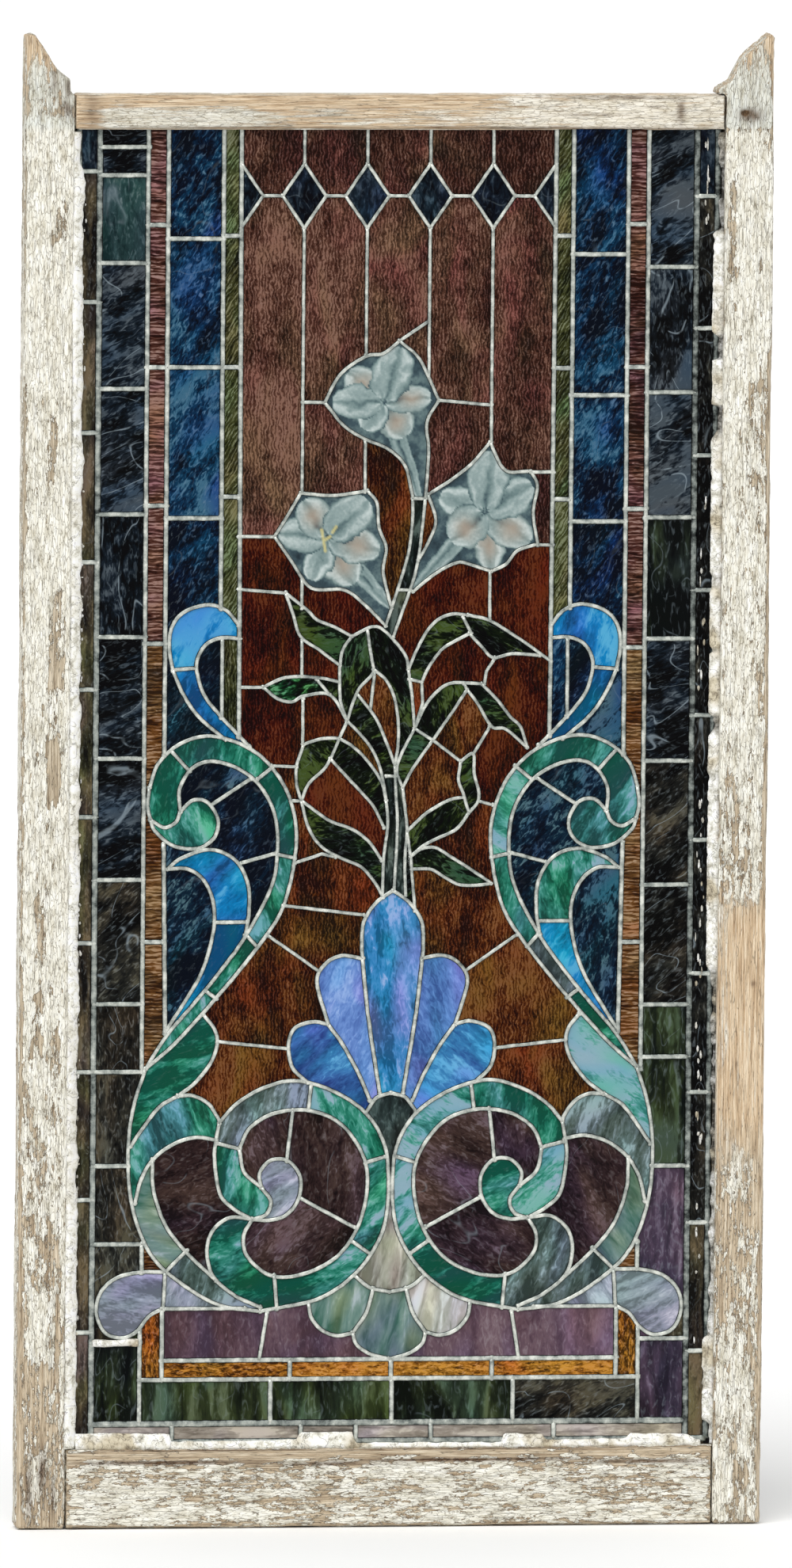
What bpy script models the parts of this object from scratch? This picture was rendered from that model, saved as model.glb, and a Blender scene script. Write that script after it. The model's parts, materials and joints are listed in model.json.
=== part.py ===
"""Leaded stained glass window in its old wooden sash, modelled in metres, +Z up, front at -Y.

The origin is at the middle of the sash's underside. The lead plan is drawn in millimetres on the
front view: x from the centre line, z up from the underside.
"""
import math

import bmesh
import bpy
from mathutils import Vector
from mathutils.geometry import delaunay_2d_cdt

MM = 0.001
GAP = 0.3

# Sash, millimetres
SASH_WIDTH = 775.0
SASH_THICKNESS = 35.0
STILE_FACE = 51.0
REBATE = 10.5
BOTTOM_RAIL_HEIGHT = 82.0
TOP_RAIL_HEIGHT = 37.0
SASH_HEIGHT = 1477.0
REBATE_DEPTH = 16.8
BACK_CHAMFER = 8.0
GROOVE_DEPTH = 10.0
GROOVE_WIDTH = 7.0
PUTTY_FRONT = 0.5

# Leaded panel, millimetres
CAME_WIDTH = 5.5
BORDER_CAME_WIDTH = 7.0
CAME_DEPTH = 6.0
FLANGE = 1.2
GLASS_THICKNESS = 3.0
PANEL_BACK_Y = -1.0
PANEL_CLEARANCE = 2.5

HALF_SASH = SASH_WIDTH / 2
HALF_THICKNESS = SASH_THICKNESS / 2
SHOULDER_X = HALF_SASH - STILE_FACE
SIGHT_X = SHOULDER_X - REBATE
SIGHT_Z = BOTTOM_RAIL_HEIGHT + REBATE
TOP_SIGHT_Z = SASH_HEIGHT - TOP_RAIL_HEIGHT
PANEL_X = SHOULDER_X - PANEL_CLEARANCE
PANEL_LOW_Z = BOTTOM_RAIL_HEIGHT + PANEL_CLEARANCE
PANEL_TOP_Z = TOP_SIGHT_Z + GROOVE_DEPTH - PANEL_CLEARANCE
REBATE_Y = REBATE_DEPTH - HALF_THICKNESS
CAME_MID_Y = PANEL_BACK_Y - CAME_DEPTH / 2
CAME_FRONT_Y = PANEL_BACK_Y - CAME_DEPTH

# Columns of the border, from the outside in, and the levels of its bottom rows
BORDER_X = 309.0
TILE_X = 259.0
RED_X = 238.0
BLUE_X = 181.0
FIELD_X = 163.0
ROW_Z = 107.0
GREEN_TOP_Z = 152.5
AMBER_TOP_Z = 172.5
UPRIGHT_X = 236.0

# Lozenge band of the field
LOZENGE_Z = 1372.0
LOZENGE_HALF_WIDTH = 22.5
LOZENGE_HALF_HEIGHT = 33.0
LOZENGE_PITCH = 65.2

CHORD = 2.4


def straight(*points):
    """A lead that runs straight from point to point."""
    return [Vector(point) for point in points]


def curve(*points):
    """A lead bent smoothly through its points, cut into chords no further off than CHORD."""
    knots = [Vector(point) for point in points]
    ends = [2 * knots[0] - knots[1]] + knots + [2 * knots[-1] - knots[-2]]
    dense = [knots[0]]
    for before, start, stop, after in zip(ends, ends[1:], ends[2:], ends[3:]):
        for step in range(1, 13):
            t = step / 12
            dense.append(0.5 * (2 * start + (stop - before) * t
                                + (2 * before - 5 * start + 4 * stop - after) * t ** 2
                                + (3 * start - before - 3 * stop + after) * t ** 3))
    return thin(dense, CHORD)


def off_line(point, start, stop):
    """Distance of a point from the line between two others."""
    along = stop - start
    if along.length < 1e-9:
        return (point - start).length
    return abs(along.normalized().cross(point - start))


def thin(points, tolerance):
    """Drop the points that lie within the tolerance of the line between their neighbours."""
    if len(points) < 3:
        return points
    distances = [off_line(point, points[0], points[-1]) for point in points[1:-1]]
    worst = max(distances)
    if worst <= tolerance:
        return [points[0], points[-1]]
    split = distances.index(worst) + 1
    return thin(points[:split + 1], tolerance)[:-1] + thin(points[split:], tolerance)


def mirrored(leads):
    """The leads and their mirror images across the centre line."""
    return leads + [[Vector((-point.x, point.y)) for point in lead] for lead in leads]


def level(low_x, high_x, z):
    """A level lead."""
    return straight((low_x, z), (high_x, z))


def plumb(x, low_z, high_z):
    """A plumb lead."""
    return straight((x, low_z), (x, high_z))


def border_leads():
    """Columns of the border and the rows below, which part one colour from the next."""
    sides = mirrored([
        plumb(-TILE_X, 472, PANEL_TOP_Z),
        plumb(-RED_X, 797, PANEL_TOP_Z),
        straight((-RED_X, 706), (-235, 510)),
        plumb(-BLUE_X, 948, PANEL_TOP_Z),
        straight((-FIELD_X, PANEL_TOP_Z), (-161, 816)),
        plumb(-TILE_X, GREEN_TOP_Z, 204),
        plumb(-UPRIGHT_X, AMBER_TOP_Z, 226),
        level(-BORDER_X, -TILE_X, 192),
    ])
    return sides + [
        level(-UPRIGHT_X, UPRIGHT_X, AMBER_TOP_Z),
        level(-TILE_X, TILE_X, GREEN_TOP_Z),
        plumb(TILE_X, ROW_Z, GREEN_TOP_Z),
    ]


def wide_leads():
    """The wider came around the panel and inside its outermost row."""
    inset_by = BORDER_CAME_WIDTH / 2
    rim_x = PANEL_X - inset_by
    return mirrored([
        plumb(-BORDER_X, PANEL_LOW_Z, PANEL_TOP_Z),
        plumb(-rim_x, PANEL_LOW_Z, PANEL_TOP_Z),
    ]) + [
        level(-BORDER_X, BORDER_X, ROW_Z),
        level(-rim_x, rim_x, PANEL_LOW_Z + inset_by),
        level(-rim_x, rim_x, PANEL_TOP_Z - inset_by),
    ]


def scroll_leads():
    """The left-hand scrolls, from the hook at the top to the ring and the foot."""
    return [
        curve((-230, 885), (-234, 908), (-231, 930), (-218, 945), (-194, 952), (-175, 946), (-162, 931)),
        curve((-161, 917), (-180, 918), (-196, 911), (-205, 895), (-204, 878), (-196, 857),
              (-176, 833), (-150, 806)),
        curve((-230, 885), (-219, 860), (-202, 836), (-175, 813)),
        curve((-253, 764), (-244, 789), (-222, 809), (-194, 817), (-165, 811), (-137, 795),
              (-114, 766), (-102, 730), (-102, 692), (-114, 640), (-140, 599), (-183, 546),
              (-225, 500), (-255, 474)),
        curve((-253, 764), (-255, 745), (-252, 731)),
        curve((-221, 739), (-222, 762), (-210, 783), (-190, 791), (-163, 784), (-140, 767),
              (-124, 738), (-120, 702), (-126, 662), (-151, 613), (-177, 576), (-208, 538),
              (-233, 509), (-255, 474)),
        curve((-221, 739), (-208, 751), (-192, 748), (-182, 730), (-186, 712), (-203, 701),
              (-228, 704), (-247, 719), (-252, 731)),
        curve((-234, 680), (-220, 691), (-192, 700), (-166, 691), (-151, 667), (-149, 636), (-153, 611)),
        curve((-234, 680), (-213, 680), (-196, 668), (-186, 645), (-186, 615), (-197, 575),
              (-217, 540), (-235, 512)),
        curve((-195, 529), (-184, 515), (-181, 499), (-188, 479), (-204, 459), (-221, 446)),
        curve((-221, 446), (-205, 446), (-190, 438), (-180, 424), (-178, 418)),
        curve((-181, 400), (-203, 403), (-226, 396), (-247, 380)),
        curve((-255, 474), (-266, 440), (-272, 400), (-271, 352), (-262, 312), (-245, 278),
              (-212, 249), (-175, 229), (-134, 223)),
        curve((-247, 380), (-246, 350), (-234, 314), (-212, 285), (-180, 255)),
        curve((-178, 418), (-160, 438), (-132, 454), (-100, 461), (-62, 451), (-27, 428),
              (-7, 396), (-2, 360), (-4, 320), (-14, 291), (-37, 260), (-75, 235), (-134, 223)),
        curve((-157, 391), (-146, 413), (-120, 428), (-84, 430), (-52, 416), (-29, 384),
              (-24, 351), (-33, 311), (-55, 279), (-90, 261), (-124, 260), (-148, 280),
              (-152, 301), (-143, 318)),
        curve((-178, 418), (-183, 385), (-177, 345), (-161, 328), (-143, 318)),
        curve((-157, 391), (-152, 367), (-134, 351)),
        curve((-134, 351), (-136, 366), (-124, 379), (-106, 378), (-94, 362), (-95, 340),
              (-107, 323), (-124, 317), (-143, 318)),
        curve((-143, 318), (-166, 320), (-184, 307), (-190, 285), (-183, 259), (-160, 239), (-134, 227)),
        curve((-233, 264), (-260, 264), (-284, 258), (-300, 243), (-304, 222), (-295, 202),
              (-277, 196), (-262, 203), (-250, 218), (-236, 226)),
        straight((-236, 226), (-150, 226)),
        curve((-84, 231), (-81, 216), (-70, 203), (-54, 197), (-38, 200)),
        curve((-38, 200), (-34, 188), (-20, 178), (0, AMBER_TOP_Z)),
    ]


def palmette_leads():
    """The left half of the palmette and of the shell under the rings."""
    return [
        curve((0, 657), (-17, 645), (-30, 625), (-32, 600), (-31, 587)),
        curve((-31, 587), (-53, 590), (-70, 581), (-78, 562), (-66, 519)),
        curve((-66, 519), (-82, 522), (-101, 515), (-107, 498), (-103, 475), (-87, 459)),
        curve((-26, 428), (-15, 443), (0, 448)),
    ]


def plant_leads():
    """Outlines of the three lilies, their stems and their leaves."""
    return [
        # upper lily
        curve((2, 1223), (19, 1209), (29, 1193), (43, 1162)),
        curve((43, 1162), (31, 1139), (33, 1109), (30, 1061)),
        curve((17, 1061), (9, 1094), (-9, 1112), (-33, 1122), (-55, 1136), (-75, 1160)),
        curve((-75, 1160), (-59, 1189), (-33, 1207), (-15, 1210), (2, 1223)),
        straight((17, 1061), (30, 1061)),
        # left lily
        curve((-126, 1022), (-114, 1041), (-99, 1067)),
        curve((-99, 1067), (-66, 1064), (-30, 1069)),
        curve((-30, 1069), (-20, 1056), (-18, 1032), (-10, 1010), (-13, 985), (-4, 948)),
        curve((-126, 1022), (-107, 995), (-87, 969), (-53, 967), (-31, 951), (-10, 930)),
        # right lily
        curve((97, 1119), (102, 1107), (114, 1089), (139, 1089)),
        curve((139, 1089), (146, 1074), (142, 1046), (147, 1014)),
        curve((147, 1014), (126, 1007), (114, 993), (99, 986)),
        curve((99, 986), (80, 992), (64, 995), (40, 983), (18, 965)),
        curve((97, 1119), (77, 1096), (55, 1079), (33, 1065)),
        curve((33, 1065), (41, 1038), (33, 1015), (23, 997)),
        # long stem, down to the leaves
        curve((17, 1061), (17, 1038), (13, 1005), (3, 970), (-10, 930)),
        curve((30, 1061), (28, 1040), (23, 997), (15, 967), (-2, 919)),
        # left leaves
        curve((-114, 964), (-92, 947), (-81, 936), (-63, 929), (-45, 919)),
        curve((-114, 964), (-106, 942), (-98, 919), (-78, 905), (-57, 889)),
        straight((-57, 889), (-57, 872)),
        curve((-45, 919), (-24, 929), (-10, 930)),
        curve((-2, 919), (10, 901), (14, 885)),
        curve((15, 875), (20, 850), (21, 824)),
        curve((-57, 872), (-74, 876), (-98, 878), (-117, 876), (-136, 867)),
        curve((-136, 867), (-121, 855), (-106, 852), (-94, 858), (-67, 859), (-49, 832)),
        curve((-49, 832), (-35, 818), (-22, 801), (-13, 778), (-8, 750)),
        curve((-94, 808), (-75, 814), (-57, 814)),
        straight((-49, 832), (-57, 814)),
        curve((-66, 793), (-73, 782), (-88, 768), (-96, 750)),
        curve((-94, 808), (-101, 786), (-101, 767), (-96, 750)),
        curve((-57, 814), (-43, 806), (-26, 789), (-13, 769), (-8, 750)),
        curve((-66, 793), (-54, 780), (-36, 761), (-21, 744), (-10, 722)),
        curve((-96, 750), (-86, 743), (-66, 729), (-42, 720), (-25, 707), (-12, 688)),
        curve((-96, 750), (-88, 722), (-75, 703), (-55, 691), (-34, 682), (-20, 667), (-10, 650)),
        straight((-10, 722), (-12, 688)),
        # right leaves
        curve((14, 885), (21, 902), (32, 923), (44, 936), (59, 942), (75, 941)),
        curve((75, 941), (98, 935), (131, 915), (162, 893)),
        curve((28, 872), (36, 889), (49, 906), (64, 915), (77, 922)),
        curve((77, 922), (90, 908), (102, 897), (122, 901), (150, 899)),
        straight((15, 875), (28, 872)),
        curve((21, 824), (32, 848), (45, 863), (60, 871), (90, 870)),
        curve((75, 864), (58, 838), (40, 812)),
        curve((40, 812), (20, 784), (9, 763)),
        curve((90, 870), (107, 853), (120, 836), (131, 825), (138, 804)),
        curve((75, 864), (86, 850), (101, 826), (116, 823), (138, 804)),
        curve((69, 790), (67, 771), (72, 757)),
        curve((69, 790), (82, 798), (83, 778), (88, 759), (87, 748), (78, 737)),
        curve((14, 718), (25, 729), (37, 739), (57, 750), (72, 753)),
        curve((78, 737), (65, 720), (46, 711), (31, 703), (18, 692)),
        curve((18, 692), (29, 700), (44, 701), (59, 692), (77, 681), (97, 664)),
        curve((97, 664), (85, 662), (68, 663), (53, 671), (38, 679), (19, 679)),
        curve((9, 763), (12, 740), (14, 718)),
        straight((19, 679), (23, 636)),
    ]


def crossing_leads():
    """Leads that cross over a sheet of one colour: the lozenge band, the field's bars and the tiles."""
    leads = []
    foot_z = LOZENGE_Z - LOZENGE_HALF_HEIGHT
    head_z = LOZENGE_Z + LOZENGE_HALF_HEIGHT
    for slot, stop_z in zip((-1.5, -0.5, 0.5, 1.5), (1067, 1208, 1186, 1119)):
        x = slot * LOZENGE_PITCH
        leads.append(straight((x, foot_z), (x - LOZENGE_HALF_WIDTH, LOZENGE_Z), (x, head_z),
                              (x + LOZENGE_HALF_WIDTH, LOZENGE_Z), (x, foot_z)))
        leads.append(plumb(x, stop_z, foot_z))
        leads.append(plumb(x, head_z, PANEL_TOP_Z - BORDER_CAME_WIDTH / 2))
    rows = [
        (-BORDER_X, -TILE_X, (1393, 1303, 1174, 1045, 919, 794, 669, 541)),
        (TILE_X, BORDER_X, (1299, 1170, 1041, 916, 790, 662, 538)),
        (-RED_X, -BLUE_X, (1328, 1196, 1041)),
        (BLUE_X, RED_X, (1312, 1167, 1037)),
    ]
    return leads + [level(low_x, high_x, z) for low_x, high_x, levels in rows for z in levels]


def stroke(lead, width, corners, faces, joints=True):
    """Add a lead to the corner and face lists as mitred quads, with an eight-sided joint at each end."""
    half = width / 2
    sides = []
    for index, point in enumerate(lead):
        arms = []
        if index:
            arms.append((point - lead[index - 1]).normalized())
        if index < len(lead) - 1:
            arms.append((lead[index + 1] - point).normalized())
        along = sum(arms, Vector((0, 0))).normalized()
        across = Vector((-along.y, along.x))
        reach = half / max(0.5, across.dot(Vector((-arms[0].y, arms[0].x))))
        sides.append((point + across * reach, point - across * reach))
    for (left, right), (next_left, next_right) in zip(sides, sides[1:]):
        faces.append(list(range(len(corners), len(corners) + 4)))
        corners.extend((left, right, next_right, next_left))
    for end in (lead[0], lead[-1]) if joints else ():
        faces.append(list(range(len(corners), len(corners) + 8)))
        turns = [math.radians(45 * step + 22.5) for step in range(8)]
        corners.extend(end + half * Vector((math.cos(turn), math.sin(turn))) for turn in turns)


def daylight(leads, wide):
    """Find the openings between the leads: each a list of loops, the outer one first."""
    corners = [Vector((x, z)) for x in (-PANEL_X, PANEL_X) for z in (PANEL_LOW_Z, PANEL_TOP_Z)]
    faces = []
    for lead in leads:
        stroke(lead, CAME_WIDTH, corners, faces)
    for lead in wide:
        stroke(lead, BORDER_CAME_WIDTH, corners, faces)
    points, _, triangles, _, _, sources = delaunay_2d_cdt(corners, [], faces, 0, 0.01)
    free = [tri for tri, source in zip(triangles, sources) if not source]
    owner = {}
    for number, tri in enumerate(free):
        for start, stop in zip(tri, tri[1:] + tri[:1]):
            owner[start, stop] = number
    openings = []
    seen = set()
    for first in range(len(free)):
        if first in seen:
            continue
        seen.add(first)
        queue = [first]
        rim = {}
        members = []
        while queue:
            number = queue.pop()
            tri = free[number]
            members.append([points[corner] for corner in tri])
            for start, stop in zip(tri, tri[1:] + tri[:1]):
                other = owner.get((stop, start))
                if other is None:
                    rim.setdefault(start, []).append(stop)
                elif other not in seen:
                    seen.add(other)
                    queue.append(other)
        openings.append((members, rim_loops(rim, points)))
    return openings


def rim_loops(rim, points):
    """Chain the free edges of an opening into closed loops, the longest first."""
    loops = []
    while rim:
        start = next(iter(rim))
        loop = [start]
        step = rim[start].pop()
        if not rim[start]:
            del rim[start]
        while step != start:
            loop.append(step)
            following = rim[step].pop()
            if not rim[step]:
                del rim[step]
            step = following
        loops.append(tidy([points[corner] for corner in loop]))
    loops.sort(key=lambda loop: -abs(area(loop)))
    return [loop for loop in loops if len(loop) > 2]


def area(loop):
    """Signed area of a loop."""
    return 0.5 * sum(start.cross(stop) for start, stop in zip(loop, loop[1:] + loop[:1]))


def tidy(loop, tolerance=1.0):
    """Thin a closed loop, starting from its lowest left corner."""
    start = min(range(len(loop)), key=lambda index: loop[index].x + loop[index].y)
    ring = loop[start:] + loop[:start]
    far = max(range(len(ring)), key=lambda index: (ring[index] - ring[0]).length)
    return thin(ring[:far + 1], tolerance)[:-1] + thin(ring[far:] + ring[:1], tolerance)[:-1]


def inset(loop, distance):
    """Move a loop's edges to their left, into the opening that they bound."""
    moved = []
    for before, point, after in zip(loop[-1:] + loop[:-1], loop, loop[1:] + loop[:1]):
        first = (point - before).normalized()
        second = (after - point).normalized()
        bend = first + second
        across = Vector((-bend.y, bend.x)).normalized()
        lean = max(0.3, across.dot(Vector((-first.y, first.x))))
        moved.append(point + across * distance / lean)
    return moved


def holds(members, seed):
    """Say whether a point lies in one of an opening's triangles."""
    for a, b, c in members:
        if min((b - a).cross(seed - a), (c - b).cross(seed - b), (a - c).cross(seed - c)) >= 0:
            return True
    return False


def material(name, color, roughness, metallic=0.0):
    """A plain Principled material."""
    made = bpy.data.materials.new(name)
    made.use_nodes = True
    shader = made.node_tree.nodes["Principled BSDF"]
    shader.inputs["Base Color"].default_value = (*color, 1.0)
    shader.inputs["Roughness"].default_value = roughness
    shader.inputs["Metallic"].default_value = metallic
    return made


def collection(name):
    """A collection linked to the scene."""
    made = bpy.data.collections.new(name)
    bpy.context.scene.collection.children.link(made)
    return made


def plate(name, loops, front_y, back_y, home):
    """A flat plate in the front view: loops in millimetres, holes among them, between two depths."""
    flat = bpy.data.curves.new(name, "CURVE")
    flat.dimensions = "2D"
    flat.fill_mode = "BOTH"
    flat.extrude = (back_y - front_y) / 2 * MM
    for loop in loops:
        spline = flat.splines.new("POLY")
        spline.points.add(len(loop) - 1)
        for knot, point in zip(spline.points, loop):
            knot.co = (point[0] * MM, point[1] * MM, 0, 1)
        spline.use_cyclic_u = True
    made = bpy.data.objects.new(name, flat)
    made.rotation_euler.x = math.pi / 2
    made.location.y = (front_y + back_y) / 2 * MM
    home.objects.link(made)
    return as_mesh(made, home)


def rail(name, section, low_x, high_x, home):
    """A level bar: its section is given as depth and height, and it runs from one x to another."""
    flat = bpy.data.curves.new(name, "CURVE")
    flat.dimensions = "2D"
    flat.fill_mode = "BOTH"
    flat.extrude = (high_x - low_x) / 2 * MM
    spline = flat.splines.new("POLY")
    spline.points.add(len(section) - 1)
    for knot, (y, z) in zip(spline.points, section):
        knot.co = (y * MM, z * MM, 0, 1)
    spline.use_cyclic_u = True
    made = bpy.data.objects.new(name, flat)
    made.rotation_euler = (math.pi / 2, 0, math.pi / 2)
    made.location.x = (low_x + high_x) / 2 * MM
    home.objects.link(made)
    return as_mesh(made, home)


def as_mesh(source, home):
    """Turn a filled curve object into a closed mesh object of the same name."""
    bpy.context.view_layer.update()
    graph = bpy.context.evaluated_depsgraph_get()
    mesh = bpy.data.meshes.new_from_object(source.evaluated_get(graph))
    solid = bmesh.new()
    solid.from_mesh(mesh)
    bmesh.ops.remove_doubles(solid, verts=solid.verts, dist=1e-6)
    solid.transform(source.matrix_world)
    bmesh.ops.recalc_face_normals(solid, faces=solid.faces)
    solid.to_mesh(mesh)
    solid.free()
    name = source.name
    bpy.data.objects.remove(source, do_unlink=True)
    mesh.name = name
    made = bpy.data.objects.new(name, mesh)
    home.objects.link(made)
    return made


def cube(name, low, high, home):
    """A box between two corners in millimetres."""
    bpy.ops.mesh.primitive_cube_add(size=1)
    made = bpy.context.object
    made.name = name
    made.scale = [(top - base) * MM for base, top in zip(low, high)]
    made.location = [(top + base) / 2 * MM for base, top in zip(low, high)]
    bpy.ops.object.transform_apply(location=True, rotation=True, scale=True)
    for other in made.users_collection:
        other.objects.unlink(made)
    home.objects.link(made)
    return made


def cut(target, tools, operation="DIFFERENCE"):
    """Cut a solid with other solids, or join them to it, by Boolean modifiers."""
    for tool in tools:
        tool.hide_render = True
        tool.display_type = "WIRE"
        step = target.modifiers.new(tool.name, "BOOLEAN")
        step.operation = operation
        step.solver = "EXACT"
        step.use_self = True
        step.object = tool
    return target


def post(name, section, low_z, high_z, home):
    """A plumb bar: its section is given as x and y, and it runs from one height to another."""
    flat = bpy.data.curves.new(name, "CURVE")
    flat.dimensions = "2D"
    flat.fill_mode = "BOTH"
    flat.extrude = (high_z - low_z) / 2 * MM
    spline = flat.splines.new("POLY")
    spline.points.add(len(section) - 1)
    for knot, (x, y) in zip(spline.points, section):
        knot.co = (x * MM, y * MM, 0, 1)
    spline.use_cyclic_u = True
    made = bpy.data.objects.new(name, flat)
    made.location.z = (low_z + high_z) / 2 * MM
    home.objects.link(made)
    return as_mesh(made, home)


def stile(side, horn, home, tools):
    """A stile with its horn: a plain board joined to the lip that the leaded panel rests on."""
    name = "left_stile" if side < 0 else "right_stile"
    outline = [(SHOULDER_X, 0), (HALF_SASH, 0)] + horn + [(SHOULDER_X, SASH_HEIGHT)]
    board = plate(name, [[(side * x, z) for x, z in outline]], -HALF_THICKNESS, HALF_THICKNESS, home)
    section = [(SHOULDER_X + 5, REBATE_Y), (SHOULDER_X + 5, HALF_THICKNESS),
               (SIGHT_X + BACK_CHAMFER, HALF_THICKNESS), (SIGHT_X, HALF_THICKNESS - BACK_CHAMFER),
               (SIGHT_X, REBATE_Y)]
    lip = post(name + "_lip", [(side * x, y) for x, y in section],
               BOTTOM_RAIL_HEIGHT + REBATE + GAP, TOP_SIGHT_Z - GAP, tools)
    return cut(board, [lip], "UNION")


def left_horn():
    """Outline of the left horn, as x across from the centre line and z, from the outer edge in."""
    arc = curve((10, 61), (21, 47), (33, 25), (46, 15))
    profile = [(0, 61)] + [(point.x, point.y) for point in arc] + [(47, 0)]
    return [(HALF_SASH - across, SASH_HEIGHT + up) for across, up in profile]


def right_horn():
    """Outline of the right horn, whose foot laps over the end of the top rail."""
    arc = curve((5, 64), (22, 50), (36, 34), (41, 20), (49, 11), (60, 6))
    profile = [(0, 60)] + [(point.x, point.y) for point in arc] + [(61, GAP), (51, GAP)]
    return [(HALF_SASH - across, SASH_HEIGHT + up) for across, up in profile]


def rails(home):
    """The bottom rail, rebated like the stiles, and the top rail with a groove for the panel."""
    low = [(-HALF_THICKNESS, 0), (HALF_THICKNESS, 0), (HALF_THICKNESS, SIGHT_Z - BACK_CHAMFER),
           (HALF_THICKNESS - BACK_CHAMFER, SIGHT_Z), (REBATE_Y, SIGHT_Z),
           (REBATE_Y, BOTTOM_RAIL_HEIGHT), (-HALF_THICKNESS, BOTTOM_RAIL_HEIGHT)]
    groove_top = TOP_SIGHT_Z + GROOVE_DEPTH
    groove_front = CAME_MID_Y - GROOVE_WIDTH / 2
    groove_back = CAME_MID_Y + GROOVE_WIDTH / 2
    top = [(-HALF_THICKNESS, TOP_SIGHT_Z), (groove_front, TOP_SIGHT_Z), (groove_front, groove_top),
           (groove_back, groove_top), (groove_back, TOP_SIGHT_Z),
           (HALF_THICKNESS - BACK_CHAMFER, TOP_SIGHT_Z), (HALF_THICKNESS, TOP_SIGHT_Z + BACK_CHAMFER),
           (HALF_THICKNESS, SASH_HEIGHT), (-HALF_THICKNESS, SASH_HEIGHT)]
    end = SHOULDER_X - GAP
    return [rail("bottom_rail", low, -end, end, home), rail("top_rail", top, -end, end, home)]


def putty(home, tools):
    """The three sloping putty fillets that hold the panel in its rebate: both sides and below."""
    shoulder = SHOULDER_X - GAP
    front = PUTTY_FRONT - HALF_THICKNESS
    back = CAME_FRONT_Y - GAP
    low = BOTTOM_RAIL_HEIGHT + GAP
    top = TOP_SIGHT_Z - GAP
    boxes = {
        "putty_left": ((-shoulder, front, low), (-SIGHT_X, back, top)),
        "putty_right": ((SIGHT_X, front, low), (shoulder, back, top)),
        "putty_bottom": ((GAP - SIGHT_X, front, low), (SIGHT_X - GAP, back, SIGHT_Z)),
    }
    mouth = 1 - shoulder
    tray = cube("putty_slope", (mouth, front - 1, low + 1), (-mouth, back + 1, SASH_HEIGHT), tools)
    for corner in tray.data.vertices:
        if corner.co.y > front * MM:
            corner.co.x = math.copysign(SIGHT_X * MM, corner.co.x)
            corner.co.z = max(corner.co.z, SIGHT_Z * MM)
    return [cut(cube(name, low, high, home), [tray]) for name, (low, high) in boxes.items()]


GLASS_PAIRS = (
    ("border_glass", 320, 700, "border"),
    ("tiles", 284, 700, "slate"),
    ("red_strip_upper", 248, 1220, "red"),
    ("red_strip_lower", 247, 620, "red"),
    ("blue_strip", 210, 1250, "blue"),
    ("blue_corner", 229, 840, "blue"),
    ("olive_strip", 172, 1250, "olive"),
    ("hook_inside", 190, 890, "blue"),
    ("hook", 218, 900, "azure"),
    ("scroll", 111, 712, "teal"),
    ("scroll_inside", 150, 730, "blue"),
    ("lower_hook", 168, 650, "azure"),
    ("lower_hook_inside", 215, 620, "blue"),
    ("side_scroll", 225, 475, "teal"),
    ("side_inside", 215, 350, "plum"),
    ("ring", 100, 446, "teal"),
    ("ring_inside", 60, 350, "plum"),
    ("foot", 280, 235, "lilac"),
    ("purple_base", 180, 200, "purple"),
)
GLASS_SINGLES = (
    ("border_glass_bottom", 0, 97, "border"),
    ("tiles_bottom", 0, 130, "green"),
    ("tile_corner_right", 284, 150, "purple"),
    ("amber_bar", 0, 162, "amber"),
    ("shell", 0, 220, "opal"),
    ("drop", 0, 425, "plum"),
    ("palmette", 10, 560, "azure"),
    ("lily_top", -20, 1160, "ice"),
    ("lily_left", -70, 1020, "ice"),
    ("lily_right", 90, 1040, "ice"),
    ("leaves", 5, 880, "leaf"),
    ("field", -130, 1150, "brown"),
    ("field_right", 130, 860, "brown"),
    ("field_leaf", -50, 740, "brown"),
)
COLORS = {
    "border": (0.10, 0.07, 0.03), "slate": (0.03, 0.04, 0.06), "red": (0.20, 0.05, 0.03),
    "blue": (0.02, 0.09, 0.24), "olive": (0.12, 0.14, 0.03), "azure": (0.08, 0.30, 0.66),
    "teal": (0.06, 0.30, 0.28), "plum": (0.08, 0.04, 0.06), "lilac": (0.35, 0.36, 0.52),
    "purple": (0.11, 0.05, 0.09), "green": (0.03, 0.06, 0.02), "amber": (0.58, 0.22, 0.02),
    "opal": (0.55, 0.42, 0.44), "ice": (0.46, 0.55, 0.58), "leaf": (0.03, 0.07, 0.02),
    "brown": (0.17, 0.05, 0.03),
}


def glass_seeds():
    """Every sheet of glass: its name, a point inside it and its colour."""
    for name, x, z, color in GLASS_PAIRS:
        yield name + "_left", Vector((-x, z)), color
        yield name + "_right", Vector((x, z)), color
    for name, x, z, color in GLASS_SINGLES:
        yield name, Vector((x, z)), color


def clear_scene():
    """Remove every object that the file starts with."""
    for thing in list(bpy.data.objects):
        bpy.data.objects.remove(thing, do_unlink=True)


def crossing_bars(leads):
    """Outlines of the leads that cross over a sheet, joined where they meet."""
    corners = [Vector((x, z)) for x in (-PANEL_X, PANEL_X) for z in (PANEL_LOW_Z, PANEL_TOP_Z)]
    faces = []
    for lead in leads:
        stroke(lead, CAME_WIDTH, corners, faces, joints=False)
    points, _, triangles, _, _, sources = delaunay_2d_cdt(corners, [], faces, 0, 0.01)
    rim = {}
    for tri, source in zip(triangles, sources):
        if source:
            for start, stop in zip(tri, tri[1:] + tri[:1]):
                rim[start, stop] = True
    following = {}
    for start, stop in rim:
        if (stop, start) not in rim:
            following.setdefault(start, []).append(stop)
    return rim_loops(following, points)


clear_scene()
parts = collection("stained_glass_window")
cutters = collection("cutters")
cutters.hide_render = True

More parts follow.
